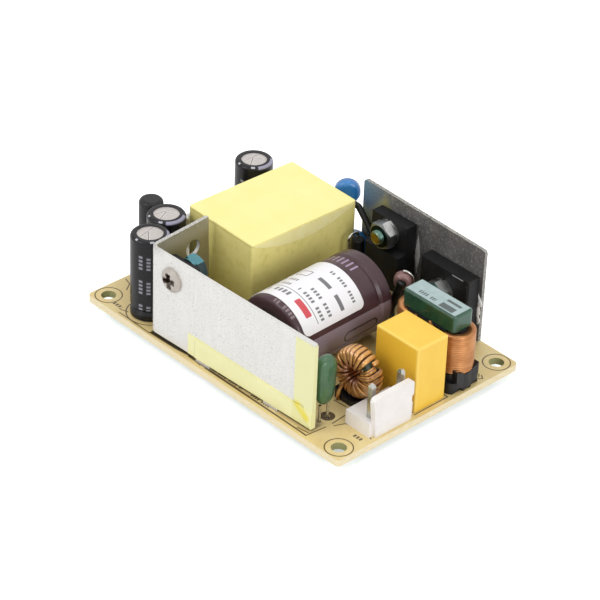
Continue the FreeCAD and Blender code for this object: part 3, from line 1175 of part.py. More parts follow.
def lens(radius, thickness, edge):
    """A dipped disc standing on edge, its faces towards -y and +y."""
    disc = cylinder(radius, thickness, V(0, -thickness / 2, 0), ALONG_Y)
    return disc.makeFillet(edge, [e for e in disc.Edges if e.Curve.TypeId == "Part::GeomCircle"])


def disc_capacitors(assembly):
    """The two blue disc capacitors and the sleeved lead that runs past the transistor."""
    upper = V(INPUT_SINK_LEFT - UPPER_DISC_FROM_SINK_END,
              TRANSFORMER_FAR + UPPER_DISC_BEHIND_TRANSFORMER, UPPER_DISC_HEIGHT)
    body = moved(lens(UPPER_DISC_RADIUS, UPPER_DISC_THICKNESS, DISC_EDGE), upper, UPPER_DISC_TURN)
    assembly.add("disc_capacitor_upper", body)
    bottom = UPPER_DISC_HEIGHT - UPPER_DISC_RADIUS - FIT_GAP
    assembly.lead("small_part_leads", upper.x, upper.y, bottom, THIN_WIRE_RADIUS)

    run_y = INPUT_SINK_INNER - SLEEVED_LEAD_BEFORE_SINK
    start = V(upper.x + UPPER_DISC_RADIUS, run_y, SLEEVED_LEAD_HIGH)
    bend = V(INPUT_SINK_LEFT + SLEEVED_LEAD_START, run_y, SLEEVED_LEAD_HIGH)
    knee = V(INPUT_SINK_LEFT + SLEEVED_LEAD_END, run_y, SLEEVED_LEAD_LOW)
    foot = V(knee.x, run_y, -BOARD_THICKNESS)
    assembly.add("small_part_leads", round_wire([start, bend, knee, foot], THIN_WIRE_RADIUS))
    assembly.drill(foot.x, foot.y, THIN_WIRE_RADIUS)
    assembly.add("lead_sleeves", tube([start + V(SEAT_GAP, 0, 0), bend, knee, V(knee.x, run_y, SLEEVE_FOOT)],
                                      THIN_WIRE_RADIUS + SLEEVE_WALL, THIN_WIRE_RADIUS + FIT_GAP))

    lower = V(INPUT_SINK_LEFT + LOWER_DISC_ALONG_SINK, INPUT_SINK_INNER - LOWER_DISC_BEFORE_SINK,
              LOWER_DISC_HEIGHT)
    assembly.add("disc_capacitor_lower", moved(lens(LOWER_DISC_RADIUS, LOWER_DISC_THICKNESS, DISC_EDGE), lower))
    bottom = LOWER_DISC_HEIGHT - underside(LOWER_DISC_RADIUS, DISC_PITCH / 2)
    for side in (-1, 1):
        assembly.lead("small_part_leads", lower.x + side * DISC_PITCH / 2, lower.y, bottom, THIN_WIRE_RADIUS)


def thermistor(assembly):
    """The pink dipped part on one sleeved and one bare lead."""
    x = bridge_x() - THERMISTOR_BESIDE_BRIDGE
    y = DEVICE_BACK - BRIDGE_THICKNESS - THERMISTOR_BEFORE_BRIDGE
    place = V(x, y, THERMISTOR_HEIGHT)
    assembly.add("thermistor", moved(lens(THERMISTOR_RADIUS, THERMISTOR_THICKNESS, DISC_EDGE), place,
                                     THERMISTOR_TURN))
    start = V(x, y, THERMISTOR_HEIGHT - THERMISTOR_RADIUS - SEAT_GAP)
    knee = V(x - THERMISTOR_LEAD_DRIFT, y - THERMISTOR_LEAD_DRIFT / 2, start.z / 2)
    foot = V(knee.x, knee.y, -BOARD_THICKNESS)
    assembly.add("small_part_leads", round_wire([start, knee, foot], THIN_WIRE_RADIUS))
    assembly.drill(foot.x, foot.y, THIN_WIRE_RADIUS)
    down = (knee - start).normalize()
    assembly.add("lead_sleeves", tube([start + down * SEAT_GAP, knee, V(knee.x, knee.y, SLEEVE_FOOT)],
                                      THIN_WIRE_RADIUS + SLEEVE_WALL, THIN_WIRE_RADIUS + FIT_GAP))
    side = V(math.cos(math.radians(THERMISTOR_TURN)), math.sin(math.radians(THERMISTOR_TURN)), 0)
    reach = THERMISTOR_RADIUS + THIN_WIRE_RADIUS + FIT_GAP
    start = place + UP * reach
    foot = V(x, y, -BOARD_THICKNESS) + side * reach
    over = round_wire([start, start + side * reach, foot], THIN_WIRE_RADIUS, reach - FIT_GAP)
    assembly.add("small_part_leads", over)
    assembly.drill(foot.x, foot.y, THIN_WIRE_RADIUS)


def snubber_diode(assembly):
    """A diode standing beside the transformer, its upper lead looped back down."""
    x = TRANSFORMER_RIGHT + DIODE_FROM_TRANSFORMER
    y = BOARD_WIDTH - DIODE_FROM_FAR
    top = DIODE_BOTTOM + DIODE_LENGTH
    body = cylinder(DIODE_RADIUS, DIODE_LENGTH, V(x, y, DIODE_BOTTOM))
    assembly.add("snubber_diode", rounded(body, SAFETY_EDGE, lambda e: e.Curve.TypeId == "Part::GeomCircle"))
    assembly.lead("small_part_leads", x, y, DIODE_BOTTOM, THIN_WIRE_RADIUS)
    crown = top + DIODE_LOOP_HEIGHT
    loop = [V(x, y, top), V(x, y, crown), V(x, y - DIODE_LOOP_SPAN, crown),
            V(x, y - DIODE_LOOP_SPAN, -BOARD_THICKNESS)]
    assembly.add("small_part_leads", round_wire(loop, THIN_WIRE_RADIUS))
    assembly.drill(x, y - DIODE_LOOP_SPAN, THIN_WIRE_RADIUS)


def optocoupler(assembly):
    """A four-lead optocoupler between the transformer and the bulk capacitor."""
    x = BULK_X - BULK_RADIUS - OPTO_BESIDE_BULK
    y = OPTO_FROM_NEAR
    body = block(x, y, OPTO_STANDOFF, OPTO_WIDTH, OPTO_LENGTH, OPTO_HEIGHT)
    body = body.makeChamfer(OPTO_EDGE, [e for e in body.Edges if e.BoundBox.ZMin > OPTO_STANDOFF + FIT_GAP])
    assembly.add("optocoupler", body)
    waist = OPTO_STANDOFF + OPTO_HEIGHT / 2
    for i in (-1, 1):
        for j in (-1, 1):
            lead_x = x + i * OPTO_PITCH / 2
            lead_y = y + j * OPTO_ROW / 2
            shelf = (OPTO_ROW - OPTO_LENGTH) / 2 - FIT_GAP
            leg = block(lead_x, lead_y, -BOARD_THICKNESS, CHIP_LEAD_WIDTH, CHIP_LEAD_THICKNESS,
                        waist + BOARD_THICKNESS)
            arm = block(lead_x, lead_y - j * shelf / 2, waist - CHIP_LEAD_THICKNESS, CHIP_LEAD_WIDTH, shelf,
                        CHIP_LEAD_THICKNESS)
            assembly.add("small_part_leads", leg.fuse(arm).removeSplitter().Solids[0])
            assembly.drill(lead_x, lead_y, CHIP_LEAD_WIDTH / 2)


def chip_parts(assembly):
    """The control chip and the chip resistors and capacitors on the underside."""
    under = -BOARD_THICKNESS
    chip = block(BULK_X, CHIP_FROM_NEAR, under - CHIP_HEIGHT, CHIP_LENGTH, CHIP_WIDTH, CHIP_HEIGHT)
    assembly.add("control_chip", chip)
    for k in range(CHIP_LEAD_COUNT):
        x = BULK_X + (k - (CHIP_LEAD_COUNT - 1) / 2) * CHIP_LEAD_PITCH
        for side in (-1, 1):
            y = CHIP_FROM_NEAR + side * (CHIP_WIDTH + CHIP_LEAD_REACH) / 2
            assembly.add("small_part_leads", block(x, y, under - CHIP_LEAD_THICKNESS, CHIP_LEAD_WIDTH,
                                                   CHIP_LEAD_REACH, CHIP_LEAD_THICKNESS))
    for row in range(CHIP_ROW_COUNT):
        for side in (-1, 1):
            for column in range(CHIP_COLUMN_COUNT):
                x = BULK_X + (column - (CHIP_COLUMN_COUNT - 1) / 2) * CHIP_PART_SPACING
                y = CHIP_FROM_NEAR + side * (CHIP_PART_OFFSET + row * CHIP_PART_SPACING)
                assembly.add("chip_parts", block(x, y, under - CHIP_PART_HEIGHT, CHIP_PART_LENGTH,
                                                 CHIP_PART_WIDTH, CHIP_PART_HEIGHT))


def mount_holes():
    """The places of the four mounting holes."""
    return [(x, y) for x in (MOUNT_HOLE_INSET, BOARD_LENGTH - MOUNT_HOLE_INSET)
            for y in (MOUNT_HOLE_INSET, BOARD_WIDTH - MOUNT_HOLE_INSET)]


def circuit_board(assembly):
    """The board with its mounting holes, the slots of the heat sink legs and every lead hole."""
    board = Part.makeBox(BOARD_LENGTH, BOARD_WIDTH, BOARD_THICKNESS, V(0, 0, -BOARD_THICKNESS))
    board = rounded(board, BOARD_CORNER_RADIUS, upright)
    foot = -BOARD_THICKNESS
    tools = [cylinder(MOUNT_HOLE_RADIUS, BOARD_THICKNESS, V(x, y, foot)) for x, y in mount_holes()]
    tools += [cylinder(radius + LEAD_HOLE_CLEARANCE, BOARD_THICKNESS, V(x, y, foot))
              for x, y, radius in assembly.leads]
    for x, y, length, width, turn in assembly.slots:
        slot = block(0, 0, foot, length + 2 * LEAD_HOLE_CLEARANCE, width + 2 * LEAD_HOLE_CLEARANCE,
                     BOARD_THICKNESS)
        tools.append(moved(slot, V(x, y, 0), turn))
    assembly.add("circuit_board", board.cut(Part.makeCompound(tools)).Solids[0])


def solder_joints(assembly):
    """A cone of solder over each lead's end on the underside, and a bar over each leg's end."""
    foot = -BOARD_THICKNESS
    for x, y, radius in assembly.leads:
        cone = Part.makeCone(SOLDER_TIP, radius + SOLDER_COLLAR, TAIL_LENGTH, V(x, y, foot - TAIL_LENGTH))
        assembly.add("solder_joints", cone)
    for x, y, length, width, turn in assembly.slots:
        wide = [length + 2 * LEAD_HOLE_CLEARANCE, width + 2 * LEAD_HOLE_CLEARANCE]
        rims = []
        for grow, z in ((0, foot - TAIL_LENGTH / 2), (SOLDER_TIP, foot)):
            a, b = wide[0] / 2 + grow, wide[1] / 2 + grow
            rims.append(Part.makePolygon([V(-a, -b, z), V(a, -b, z), V(a, b, z), V(-a, b, z), V(-a, -b, z)]))
        assembly.add("solder_joints", moved(Part.makeLoft(rims, True, True), V(x, y, 0), turn))


def main():
    """Builds every piece, moves it to the part's frame and writes one STEP file per node."""
    assembly = Assembly()
    for build in (output_heatsink, output_heatsink_tape, output_device, input_heatsink, input_devices,
                  transformer, bulk_capacitor, output_capacitors, rod_inductor, connectors,
                  safety_capacitor, common_mode_choke, toroid, varistor, disc_capacitors, thermistor,
                  snubber_diode, optocoupler, chip_parts, circuit_board, solder_joints):
        build(assembly)
    nearest = min(0, along_output_sink(RECTIFIER_ALONG, -SCREW_HEAD_HEIGHT, 0).y)
    farthest = max(BOARD_WIDTH, INPUT_SINK_OUTER + SCREW_HEAD_HEIGHT)
    origin = V(-BOARD_LENGTH / 2, -(nearest + farthest) / 2, BOARD_THICKNESS + TAIL_LENGTH)
    os.makedirs("parts", exist_ok=True)
    for node, solids in sorted(assembly.nodes.items()):
        placed = [moved(solid, origin) for solid in solids]
        shape = placed[0] if len(placed) == 1 else Part.makeCompound(placed)
        shape.exportStep("parts/" + node + ".step")


main()
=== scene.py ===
"""Looks of a small open frame power supply.

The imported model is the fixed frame. This script gives every piece of it a finish, adds the
wound, taped and threaded pieces that the frame leaves plain, and lights the whole for a
studio view. Lengths are millimetres from the board's near left corner, with the height
counted from the board's top face, and Blender gets metres.
"""
import logging
import math
from dataclasses import dataclass
from enum import Enum
from typing import Dict, Optional, Sequence, Tuple, Union

import bpy
import numpy as np
from mathutils import Matrix, Vector


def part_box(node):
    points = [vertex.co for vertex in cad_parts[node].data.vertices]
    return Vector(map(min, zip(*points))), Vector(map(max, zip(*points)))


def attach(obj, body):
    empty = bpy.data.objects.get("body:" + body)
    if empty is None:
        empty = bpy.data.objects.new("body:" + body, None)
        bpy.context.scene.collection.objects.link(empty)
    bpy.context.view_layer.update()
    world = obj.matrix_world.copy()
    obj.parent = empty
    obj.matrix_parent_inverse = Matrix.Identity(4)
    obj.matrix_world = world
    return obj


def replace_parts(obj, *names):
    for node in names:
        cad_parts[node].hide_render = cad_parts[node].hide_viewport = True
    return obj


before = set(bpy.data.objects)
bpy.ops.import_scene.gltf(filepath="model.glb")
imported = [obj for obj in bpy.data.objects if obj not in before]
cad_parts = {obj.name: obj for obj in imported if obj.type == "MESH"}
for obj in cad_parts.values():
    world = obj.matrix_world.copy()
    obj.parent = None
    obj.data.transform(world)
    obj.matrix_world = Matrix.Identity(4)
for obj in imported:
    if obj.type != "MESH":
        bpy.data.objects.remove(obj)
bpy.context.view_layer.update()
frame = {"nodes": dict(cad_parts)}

LOG = logging.getLogger("power_supply")
MM = 0.001
LOW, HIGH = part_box("circuit_board")
ORIGIN = (LOW[0] / MM, LOW[1] / MM, HIGH[2] / MM)
BOARD_LENGTH = 76.2
BOARD_WIDTH = 50.8
BOARD_MIDDLE = (BOARD_LENGTH / 2, BOARD_WIDTH / 2)
PER_DEGREE = math.pi / 180
ALONG_BOARD = np.array((1.0, 0.0, 0.0))
UPWARDS = np.array((0.0, 0.0, 1.0))
Triple = Tuple[float, float, float]
Pair = Tuple[float, float]
Line = Tuple[Pair, ...]
Row = Tuple[Pair, float, float, float]
Number = Union["Value", float]


class Face(Enum):
    """The way a surface looks, by the axis of its normal."""

    RIGHT = (0, 1.0)
    LEFT = (0, -1.0)
    NEAR = (1, -1.0)
    TOP = (2, 1.0)
    BOTTOM = (2, -1.0)


def linear(code: str) -> Tuple[float, float, float, float]:
    """Turns a six digit screen colour into a linear one.

    Args:
        code: The colour as six hexadecimal digits.

    Returns:
        Red, green, blue and an alpha of one.
    """
    parts = [int(code[k:k + 2], 16) / 255 for k in (0, 2, 4)]
    flat = [c / 12.92 if c <= 0.04045 else ((c + 0.055) / 1.055) ** 2.4 for c in parts]
    return (flat[0], flat[1], flat[2], 1.0)


@dataclass(frozen=True)
class Value:
    """A number in a node tree that takes part in Python expressions.

    Attributes:
        graph: The node tree's wrapper.
        socket: The output that carries the number.
    """

    graph: "Graph"
    socket: bpy.types.NodeSocket

    def __add__(self, other: Number) -> "Value":
        """Returns the sum."""
        return self.graph.math("ADD", self, other)

    __radd__ = __add__

    def __sub__(self, other: Number) -> "Value":
        """Returns the difference."""
        return self.graph.math("SUBTRACT", self, other)

    def __rsub__(self, other: Number) -> "Value":
        """Returns the difference from a number."""
        return self.graph.math("SUBTRACT", other, self)

    def __mul__(self, other: Number) -> "Value":
        """Returns the product."""
        return self.graph.math("MULTIPLY", self, other)

    __rmul__ = __mul__

    def __truediv__(self, other: Number) -> "Value":
        """Returns the quotient."""
        return self.graph.math("DIVIDE", self, other)

    def __neg__(self) -> "Value":
        """Returns the value with its sign changed."""
        return self.graph.math("MULTIPLY", self, -1.0)

    def __abs__(self) -> "Value":
        """Returns the size of the value."""
        return self.graph.math("ABSOLUTE", self)

    def __pow__(self, other: Number) -> "Value":
        """Returns the power."""
        return self.graph.math("POWER", self, other)

    def __mod__(self, other: Number) -> "Value":
        """Returns the remainder, never negative."""
        return self.graph.math("FLOORED_MODULO", self, other)

    def low(self, other: Number) -> "Value":
        """Returns the smaller of two values."""
        return self.graph.math("MINIMUM", self, other)

    def high(self, other: Number) -> "Value":
        """Returns the larger of two values."""
        return self.graph.math("MAXIMUM", self, other)

    def clamp(self) -> "Value":
        """Returns the value held between zero and one."""
        return self.low(1.0).high(0.0)

    def inside(self, softness: float = 0.06) -> "Value":
        """Returns one where a signed distance is negative, with a soft edge."""
        return (0.5 - self / softness).clamp()

    def ramp(self, start: float, end: float) -> "Value":
        """Returns zero at start, rising to one at end."""
        return ((self - start) / (end - start)).clamp()

    def band(self, centre: float, half: float, softness: float = 0.06) -> "Value":
        """Returns one where the value lies within half of centre."""
        return (abs(self - centre) - half).inside(softness)


class Graph:
    """The node tree of one material or world, and the few kinds of node that the looks need."""

    def __init__(self, name: str, world: Optional[bpy.types.World] = None) -> None:
        """Starts an empty material, or empties a world.

        Args:
            name: The material's name.
            world: The world whose tree is wrapped, or None for a new material.
        """
        self.material = world or bpy.data.materials.new(name)
        self.material.use_nodes = True
        self.tree = self.material.node_tree
        self.tree.nodes.clear()
        self._place: Optional[Tuple[Value, Value, Value]] = None
        self._where: Optional[Value] = None
        self._facing: Optional[Tuple[Value, Value, Value]] = None

    def node(self, kind: str, settings: Dict[str, object],
             sockets: Dict[Union[str, int], object]) -> bpy.types.Node:
        """Adds one node.

        Args:
            kind: The node's type, without its ShaderNode prefix.
            settings: Properties set before the sockets.
            sockets: Values or links by socket name or number.

        Returns:
            The new node.
        """
        made = self.tree.nodes.new("ShaderNode" + kind)
        for key, value in settings.items():
            setattr(made, key, value)
        for key, value in sockets.items():
            if isinstance(value, Value):
                self.tree.links.new(value.socket, made.inputs[key])
            elif isinstance(value, bpy.types.NodeSocket):
                self.tree.links.new(value, made.inputs[key])
            else:
                made.inputs[key].default_value = value
        return made

    def math(self, operation: str, *values: Number) -> Value:
        """Adds a Math node and returns its result."""
        made = self.node("Math", {"operation": operation}, dict(enumerate(values)))
        return Value(self, made.outputs[0])

    def vector(self, operation: str, *values: object) -> Value:
        """Adds a Vector Math node and returns its vector."""
        made = self.node("VectorMath", {"operation": operation}, dict(enumerate(values)))
        return Value(self, made.outputs[0])

    def where(self) -> Value:
        """Returns the place in millimetres from the board's corner, as a vector.

        Returns:
            The place as a vector.
        """
        if self._where is None:
            found = self.node("TexCoord", {}, {}).outputs["Object"]
            scale = (1 / MM, 1 / MM, 1 / MM)
            self._where = self.vector("MULTIPLY_ADD", found, scale, tuple(-c for c in ORIGIN))
        return self._where

    def place(self) -> Tuple[Value, Value, Value]:
        """Returns the place in millimetres from the board's corner, as three numbers.

        Returns:
            The place along the board, across it and up.
        """
        if self._place is None:
            parts = self.node("SeparateXYZ", {}, {0: self.where()}).outputs
            self._place = tuple(Value(self, parts[k]) for k in range(3))
        return self._place

    def rays(self, kind: str) -> Value:
        """Returns one for light rays of a kind, by the Light Path node's name for it."""
        return Value(self, self.node("LightPath", {}, {}).outputs[kind])

    def facing(self, face: Face, start: float = 0.5, end: float = 0.8) -> Value:
        """Returns one where the surface's true normal looks the way that face names.

        Args:
            face: The way to look.
            start: Share of the normal at which the mask starts to rise.
            end: Share at which it is one.

        Returns:
            The mask.
        """
        if self._facing is None:
            normal = self.node("NewGeometry", {}, {}).outputs["True Normal"]
            parts = self.node("SeparateXYZ", {}, {0: normal}).outputs
            self._facing = tuple(Value(self, parts[k]) for k in range(3))
        axis, sign = face.value
        return (self._facing[axis] * sign).ramp(start, end)

    def noise(self, scale: float, detail: float = 2.0, rough: float = 0.5, at: Optional[Value] = None) -> Value:
        """Returns smooth noise from zero to one.

        Args:
            scale: Features per millimetre.
            detail: Octaves.
            rough: Weight of the finer octaves.
            at: The vector that it follows, or None for the place on the object.

        Returns:
            The noise.
        """
        vector = at or self.where()
        made = self.node("TexNoise", {}, {"Vector": vector, "Scale": scale, "Detail": detail, "Roughness": rough})
        return Value(self, made.outputs[0])

    def streaks(self, scale: float, stretch: Triple, detail: float = 2.0) -> Value:
        """Returns noise drawn out along an axis by dividing the place by stretch."""
        at = self.vector("DIVIDE", self.where(), stretch)
        return self.noise(scale, detail, 0.5, at)

    def cells(self, scale: float, at: Optional[Value] = None) -> Value:
        """Returns the distance to the nearest of scattered points."""
        made = self.node("TexVoronoi", {"feature": "F1"}, {"Vector": at or self.where(), "Scale": scale})
        return Value(self, made.outputs["Distance"])

    def mix(self, share: Number, first: object, second: object) -> Value:
        """Returns a colour between two colours.

        Args:
            share: How much of the second colour there is.
            first: A screen colour code or a link.
            second: A screen colour code or a link.

        Returns:
            The mixed colour.
        """
        ends = [linear(c) if isinstance(c, str) else c for c in (first, second)]
        made = self.node("Mix", {"data_type": "RGBA"}, {0: share, 6: ends[0], 7: ends[1]})
        return Value(self, made.outputs[2])

    def patchy(self, scale: float, first: str, second: str, gain: float, lift: float) -> Tuple[Value, Value]:
        """Returns soft noise and a colour that follows it: a share of gain times the noise less lift.

        Args:
            scale: Patches per millimetre.
            first: Screen colour where the share is zero.
            second: Screen colour where it is one.
            gain: How quickly the share follows the noise.
            lift: What is taken off it.

        Returns:
            The noise and the colour.
        """
        cloud = self.noise(scale, 3.0)
        return cloud, self.mix((cloud * gain - lift).clamp(), first, second)

    def bump(self, height: Value, depth: float, under: Optional[Value] = None) -> Value:
        """Returns a normal disturbed by a height from zero to one, depth millimetres deep.

        Args:
            height: The height from zero to one.
            depth: What a height of one stands for, in millimetres.
            under: A normal that is bumped further, or None.

        Returns:
            The new normal.
        """
        sockets = {"Height": height, "Distance": depth * MM, "Strength": 1.0}
        if under is not None:
            sockets["Normal"] = under
        return Value(self, self.node("Bump", {}, sockets).outputs[0])

    def finish(self, colour: Value, rough: Number, metal: Number = 0.0, normal: Optional[Value] = None,
               coat: Number = 0.0, gloss: float = 0.5) -> bpy.types.Material:
        """Adds the surface shader and closes the material.

        Args:
            colour: Base colour.
            rough: Roughness.
            metal: Metallic share.
            normal: Bumped normal, or None.
            coat: Clear coat.
            gloss: Strength of the plain reflection.

        Returns:
            The material.
        """
        sockets = {"Base Color": colour, "Roughness": rough, "Metallic": metal, "Coat Weight": coat,
                   "Coat Roughness": 0.06, "Specular IOR Level": gloss}
        if normal is not None:
            sockets["Normal"] = normal
        shader = self.node("BsdfPrincipled", {}, sockets)
        self.node("OutputMaterial", {}, {"Surface": shader.outputs[0]})
        return self.material


def disc(u: Number, v: Number, centre: Pair, radius: float) -> Value:
    """Returns the signed distance to a disc: the distance to its centre less its radius."""
    return ((u - centre[0]) ** 2.0 + (v - centre[1]) ** 2.0) ** 0.5 - radius


def turned(u: Number, v: Number, degrees: float) -> Tuple[Number, Number]:
    """Returns a place as seen from axes turned by an angle: u cos + v sin and v cos - u sin.

    Args:
        u: First coordinate in millimetres.
        v: Second coordinate in millimetres.
        degrees: The angle.

    Returns:
        The two coordinates along the turned axes.
    """
    cosine, sine = math.cos(degrees * PER_DEGREE), math.sin(degrees * PER_DEGREE)
    return u * cosine + v * sine, v * cosine - u * sine


def bearing(u: Value, v: Value) -> Value:
    """Returns the angle of a place in degrees, counted from u towards v."""
    return u.graph.math("ARCTAN2", v, u) / PER_DEGREE


def ring(u: Number, v: Number, centre: Pair, radius: float, half: float) -> Value:
    """Returns the signed distance to a ring: how far a place is from the circle, less half."""
    return abs(disc(u, v, centre, radius)) - half


def bar(u: Value, v: Value, start: Pair, end: Pair, half: float) -> Value:
    """Returns the signed distance to a round ended bar.

    The place is dropped on the line from start to end, held between its ends, and the
    distance to that point less the half width is the answer.

    Args:
        u: First coordinate in millimetres.
        v: Second coordinate in millimetres.
        start: Middle of the bar's start.
        end: Middle of the bar's end.
        half: Half of its width.

    Returns:
        The distance, negative inside.
    """
    along = (end[0] - start[0], end[1] - start[1])
    length2 = along[0] ** 2 + along[1] ** 2
    du, dv = u - start[0], v - start[1]
    share = ((du * along[0] + dv * along[1]) / length2).clamp()
    return ((du - share * along[0]) ** 2.0 + (dv - share * along[1]) ** 2.0) ** 0.5 - half


def stroke(u: Value, v: Value, points: Sequence[Pair], half: float) -> Value:
    """Returns the signed distance to a line through points: the least of its bars' distances."""
    runs = [bar(u, v, a, b, half) for a, b in zip(points[:-1], points[1:])]
    return least(runs)


def least(fields: Sequence[Value]) -> Value:
    """Returns the least of several signed distances, which is their union.

    Args:
        fields: Signed distances.

    Returns:
        Their union as one signed distance.
    """
    found = fields[0]
    for field in fields[1:]:
        found = found.low(field)
    return found


def panel(u: Value, v: Value, centre: Pair, half: Pair, corner: float = 0.0) -> Value:
    """Returns the signed distance to an upright rectangle with round corners.

    Args:
        u: First coordinate in millimetres.
        v: Second coordinate in millimetres.
        centre: The rectangle's middle.
        half: Half of its length along u and along v.
        corner: Radius of its corners.

    Returns:
        The distance, negative inside.
    """
    du = abs(u - centre[0]) - (half[0] - corner)
    dv = abs(v - centre[1]) - (half[1] - corner)
    outside = (du.high(0.0) ** 2.0 + dv.high(0.0) ** 2.0) ** 0.5
    return outside + du.high(dv).low(0.0) - corner


def dashes(u: Value, v: Value, start: Pair, length: float, height: float, pitch: float) -> Value:
    """Returns a mask of short upright dashes in a row along u, which stands for a printed line.

    Within the row's box, the place along u is counted in pitches. Each dash fills seven
    tenths of its pitch, and every fifth place stays empty.

    Args:
        u: First coordinate in millimetres.
        v: Second coordinate in millimetres.
        start: Middle of the row's left end.
        length: Length of the row.
        height: Height of a dash.
        pitch: Distance from dash to dash.

    Returns:
        One on a dash and zero elsewhere.
    """
    along = (u - start[0]) / pitch
    inside = panel(u, v, (start[0] + length / 2, start[1]), (length / 2, height / 2)).inside()
    body = (along % 1.0).band(0.4, 0.3, 0.2)
    word = (along % 5.0).band(2.0, 2.0, 0.2)
    return inside * body * word


def printed(u: Value, v: Value, rows: Sequence[Row]) -> Value:
    """Returns a mask of several rows of dashes, which is the largest of their masks.

    Args:
        u: First coordinate in millimetres.
        v: Second coordinate in millimetres.
        rows: Start, length, height and pitch of each row.

    Returns:
        One on a dash and zero elsewhere.
    """
    mask = dashes(u, v, *rows[0])
    for row in rows[1:]:
        mask = mask.high(dashes(u, v, *row))
    return mask


@dataclass(frozen=True)
class Finish:
    """A finish that is one colour with a fine grain, gloss and slight unevenness.

    Attributes:
        name: The material's name.
        colour: Screen colour of the surface.
        shade: Screen colour of its darker patches.
        rough: Roughness.
        metal: Metallic share.
        coat: Clear coat on top.
        grain: Features of the fine grain per millimetre.
        depth: Depth of the grain in millimetres.
        patch: Features of the colour patches per millimetre.
        gloss: Strength of the plain reflection.
    """

    name: str
    colour: str
    shade: str
    rough: float = 0.45
    metal: float = 0.0
    coat: float = 0.0
    grain: float = 6.0
    depth: float = 0.006
    patch: float = 0.35
    gloss: float = 0.5

    def material(self) -> bpy.types.Material:
        """Returns the material.

        Returns:
            The material.
        """
        g = Graph(self.name)
        patches = g.noise(self.patch, 3.0)
        grain = g.noise(self.grain, 3.0, 0.6)
        colour = g.mix((patches * 1.6 - 0.5 + grain * 0.4).clamp(), self.shade, self.colour)
        rough = self.rough + (grain - 0.5) * 0.25 + (patches - 0.5) * 0.15
        return g.finish(colour, rough.clamp(), metal=self.metal, normal=g.bump(grain, self.depth), coat=self.coat,
                        gloss=self.gloss)


def dress(material: bpy.types.Material, *nodes: str) -> None:
    """Gives CAD nodes a material.

    Args:
        material: The material.
        nodes: Names of CAD nodes.
    """
    for name in nodes:
        slots = frame["nodes"][name].data.materials
        slots.clear()
        slots.append(material)
        LOG.info("%s: %s", name, material.name)


def shell(name: str, sections: np.ndarray, material: bpy.types.Material,
          round_path: bool = False, smooth: bool = True) -> bpy.types.Object:
    """Makes a closed piece from closed sections along a path, and parents it to an empty named body:root.

    The grid holds one section a row. Neighbouring rows are joined by four sided faces. An
    open path gets a flat cap at each end. Where the sum of a . (b x c) over the triangles,
    six times the signed volume, is negative, every face is turned round.

    Args:
        name: The piece's name.
        sections: Rows of places in millimetres, rows by columns by three.
        material: Its material.
        round_path: Whether the last section joins the first.
        smooth: Whether faces are shaded smooth.

    Returns:
        The new piece.
    """
    rows, columns = sections.shape[:2]
    places = (sections.reshape(-1, 3) + np.array(ORIGIN)) * MM
    index = np.arange(rows * columns).reshape(rows, columns)
    after = np.roll(index, -1, axis=0)
    here = index if round_path else index[:-1]
    there = after if round_path else after[:-1]
    quads = np.stack([here, np.roll(here, -1, 1), np.roll(there, -1, 1), there], axis=-1).reshape(-1, 4)
    faces = quads.tolist()
    if not round_path:
        faces += [index[0][::-1].tolist(), index[-1].tolist()]
    corners = places[quads] - places.mean(axis=0)
    volume = np.einsum("ij,ij->i", corners[:, 0], np.cross(corners[:, 1], corners[:, 2])).sum()
    volume += np.einsum("ij,ij->i", corners[:, 0], np.cross(corners[:, 2], corners[:, 3])).sum()
    if volume < 0:
        faces = [face[::-1] for face in faces]
    mesh = bpy.data.meshes.new(name)
    mesh.from_pydata(places.tolist(), [], faces)
    mesh.polygons.foreach_set("use_smooth", np.full(len(faces), smooth))
    mesh.materials.append(material)
    made = bpy.data.objects.new(name, mesh)
    bpy.context.scene.collection.objects.link(made)
    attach(made, "root")
    LOG.info("%s: %d faces", name, len(faces))
    return made


def swept(path: np.ndarray, across: np.ndarray, half_wide: np.ndarray, half_deep: np.ndarray, columns: int = 12,
          round_path: bool = False) -> np.ndarray:
    """Carries an ellipse along a path.

    With T the path's direction and W the part of across that is square to it, each section
    is path + half_wide cos(a) W + half_deep sin(a) (T x W).

    Args:
        path: Places along the path, rows by three.
        across: The direction of the ellipse's width at each place, or one for all.
        half_wide: Half of its width at each place.
        half_deep: Half of its depth at each place.
        columns: Places round each section.
        round_path: Whether the path closes on itself.

    Returns:
        The sections, rows by columns by three.
    """
    if round_path:
        ahead = np.roll(path, -1, axis=0) - np.roll(path, 1, axis=0)
    else:
        ahead = np.gradient(path, axis=0)
    ahead = ahead / np.linalg.norm(ahead, axis=1, keepdims=True)
    wide = np.broadcast_to(across, path.shape)
    wide = wide - ahead * (wide * ahead).sum(axis=1, keepdims=True)
    wide = wide / np.linalg.norm(wide, axis=1, keepdims=True)
    deep = np.cross(ahead, wide)
    angle = np.linspace(0, 2 * np.pi, columns, endpoint=False)
    cosine = np.cos(angle)[None, :, None] * (np.zeros(len(path)) + half_wide)[:, None, None]
    sine = np.sin(angle)[None, :, None] * (np.zeros(len(path)) + half_deep)[:, None, None]
    return path[:, None, :] + wide[:, None, :] * cosine + deep[:, None, :] * sine


def eased(points: Sequence[Triple], count: int = 40) -> np.ndarray:
    """Returns a smooth path through a few points: a Catmull-Rom blend of each four neighbours.

    Args:
        points: The points in millimetres.
        count: Places on the path.

    Returns:
        The path, count by three.
    """
    held = np.array([points[0], *points, points[-1]], dtype=float)
    t = np.linspace(0, len(points) - 1 - 1e-6, count)
    k = t.astype(int)
    f = (t - k)[:, None]
    a, b, c, d = held[k], held[k + 1], held[k + 2], held[k + 3]
    return 0.5 * (2 * b + (c - a) * f + (2 * a - 5 * b + 4 * c - d) * f ** 2 + (3 * b - a - 3 * c + d) * f ** 3)


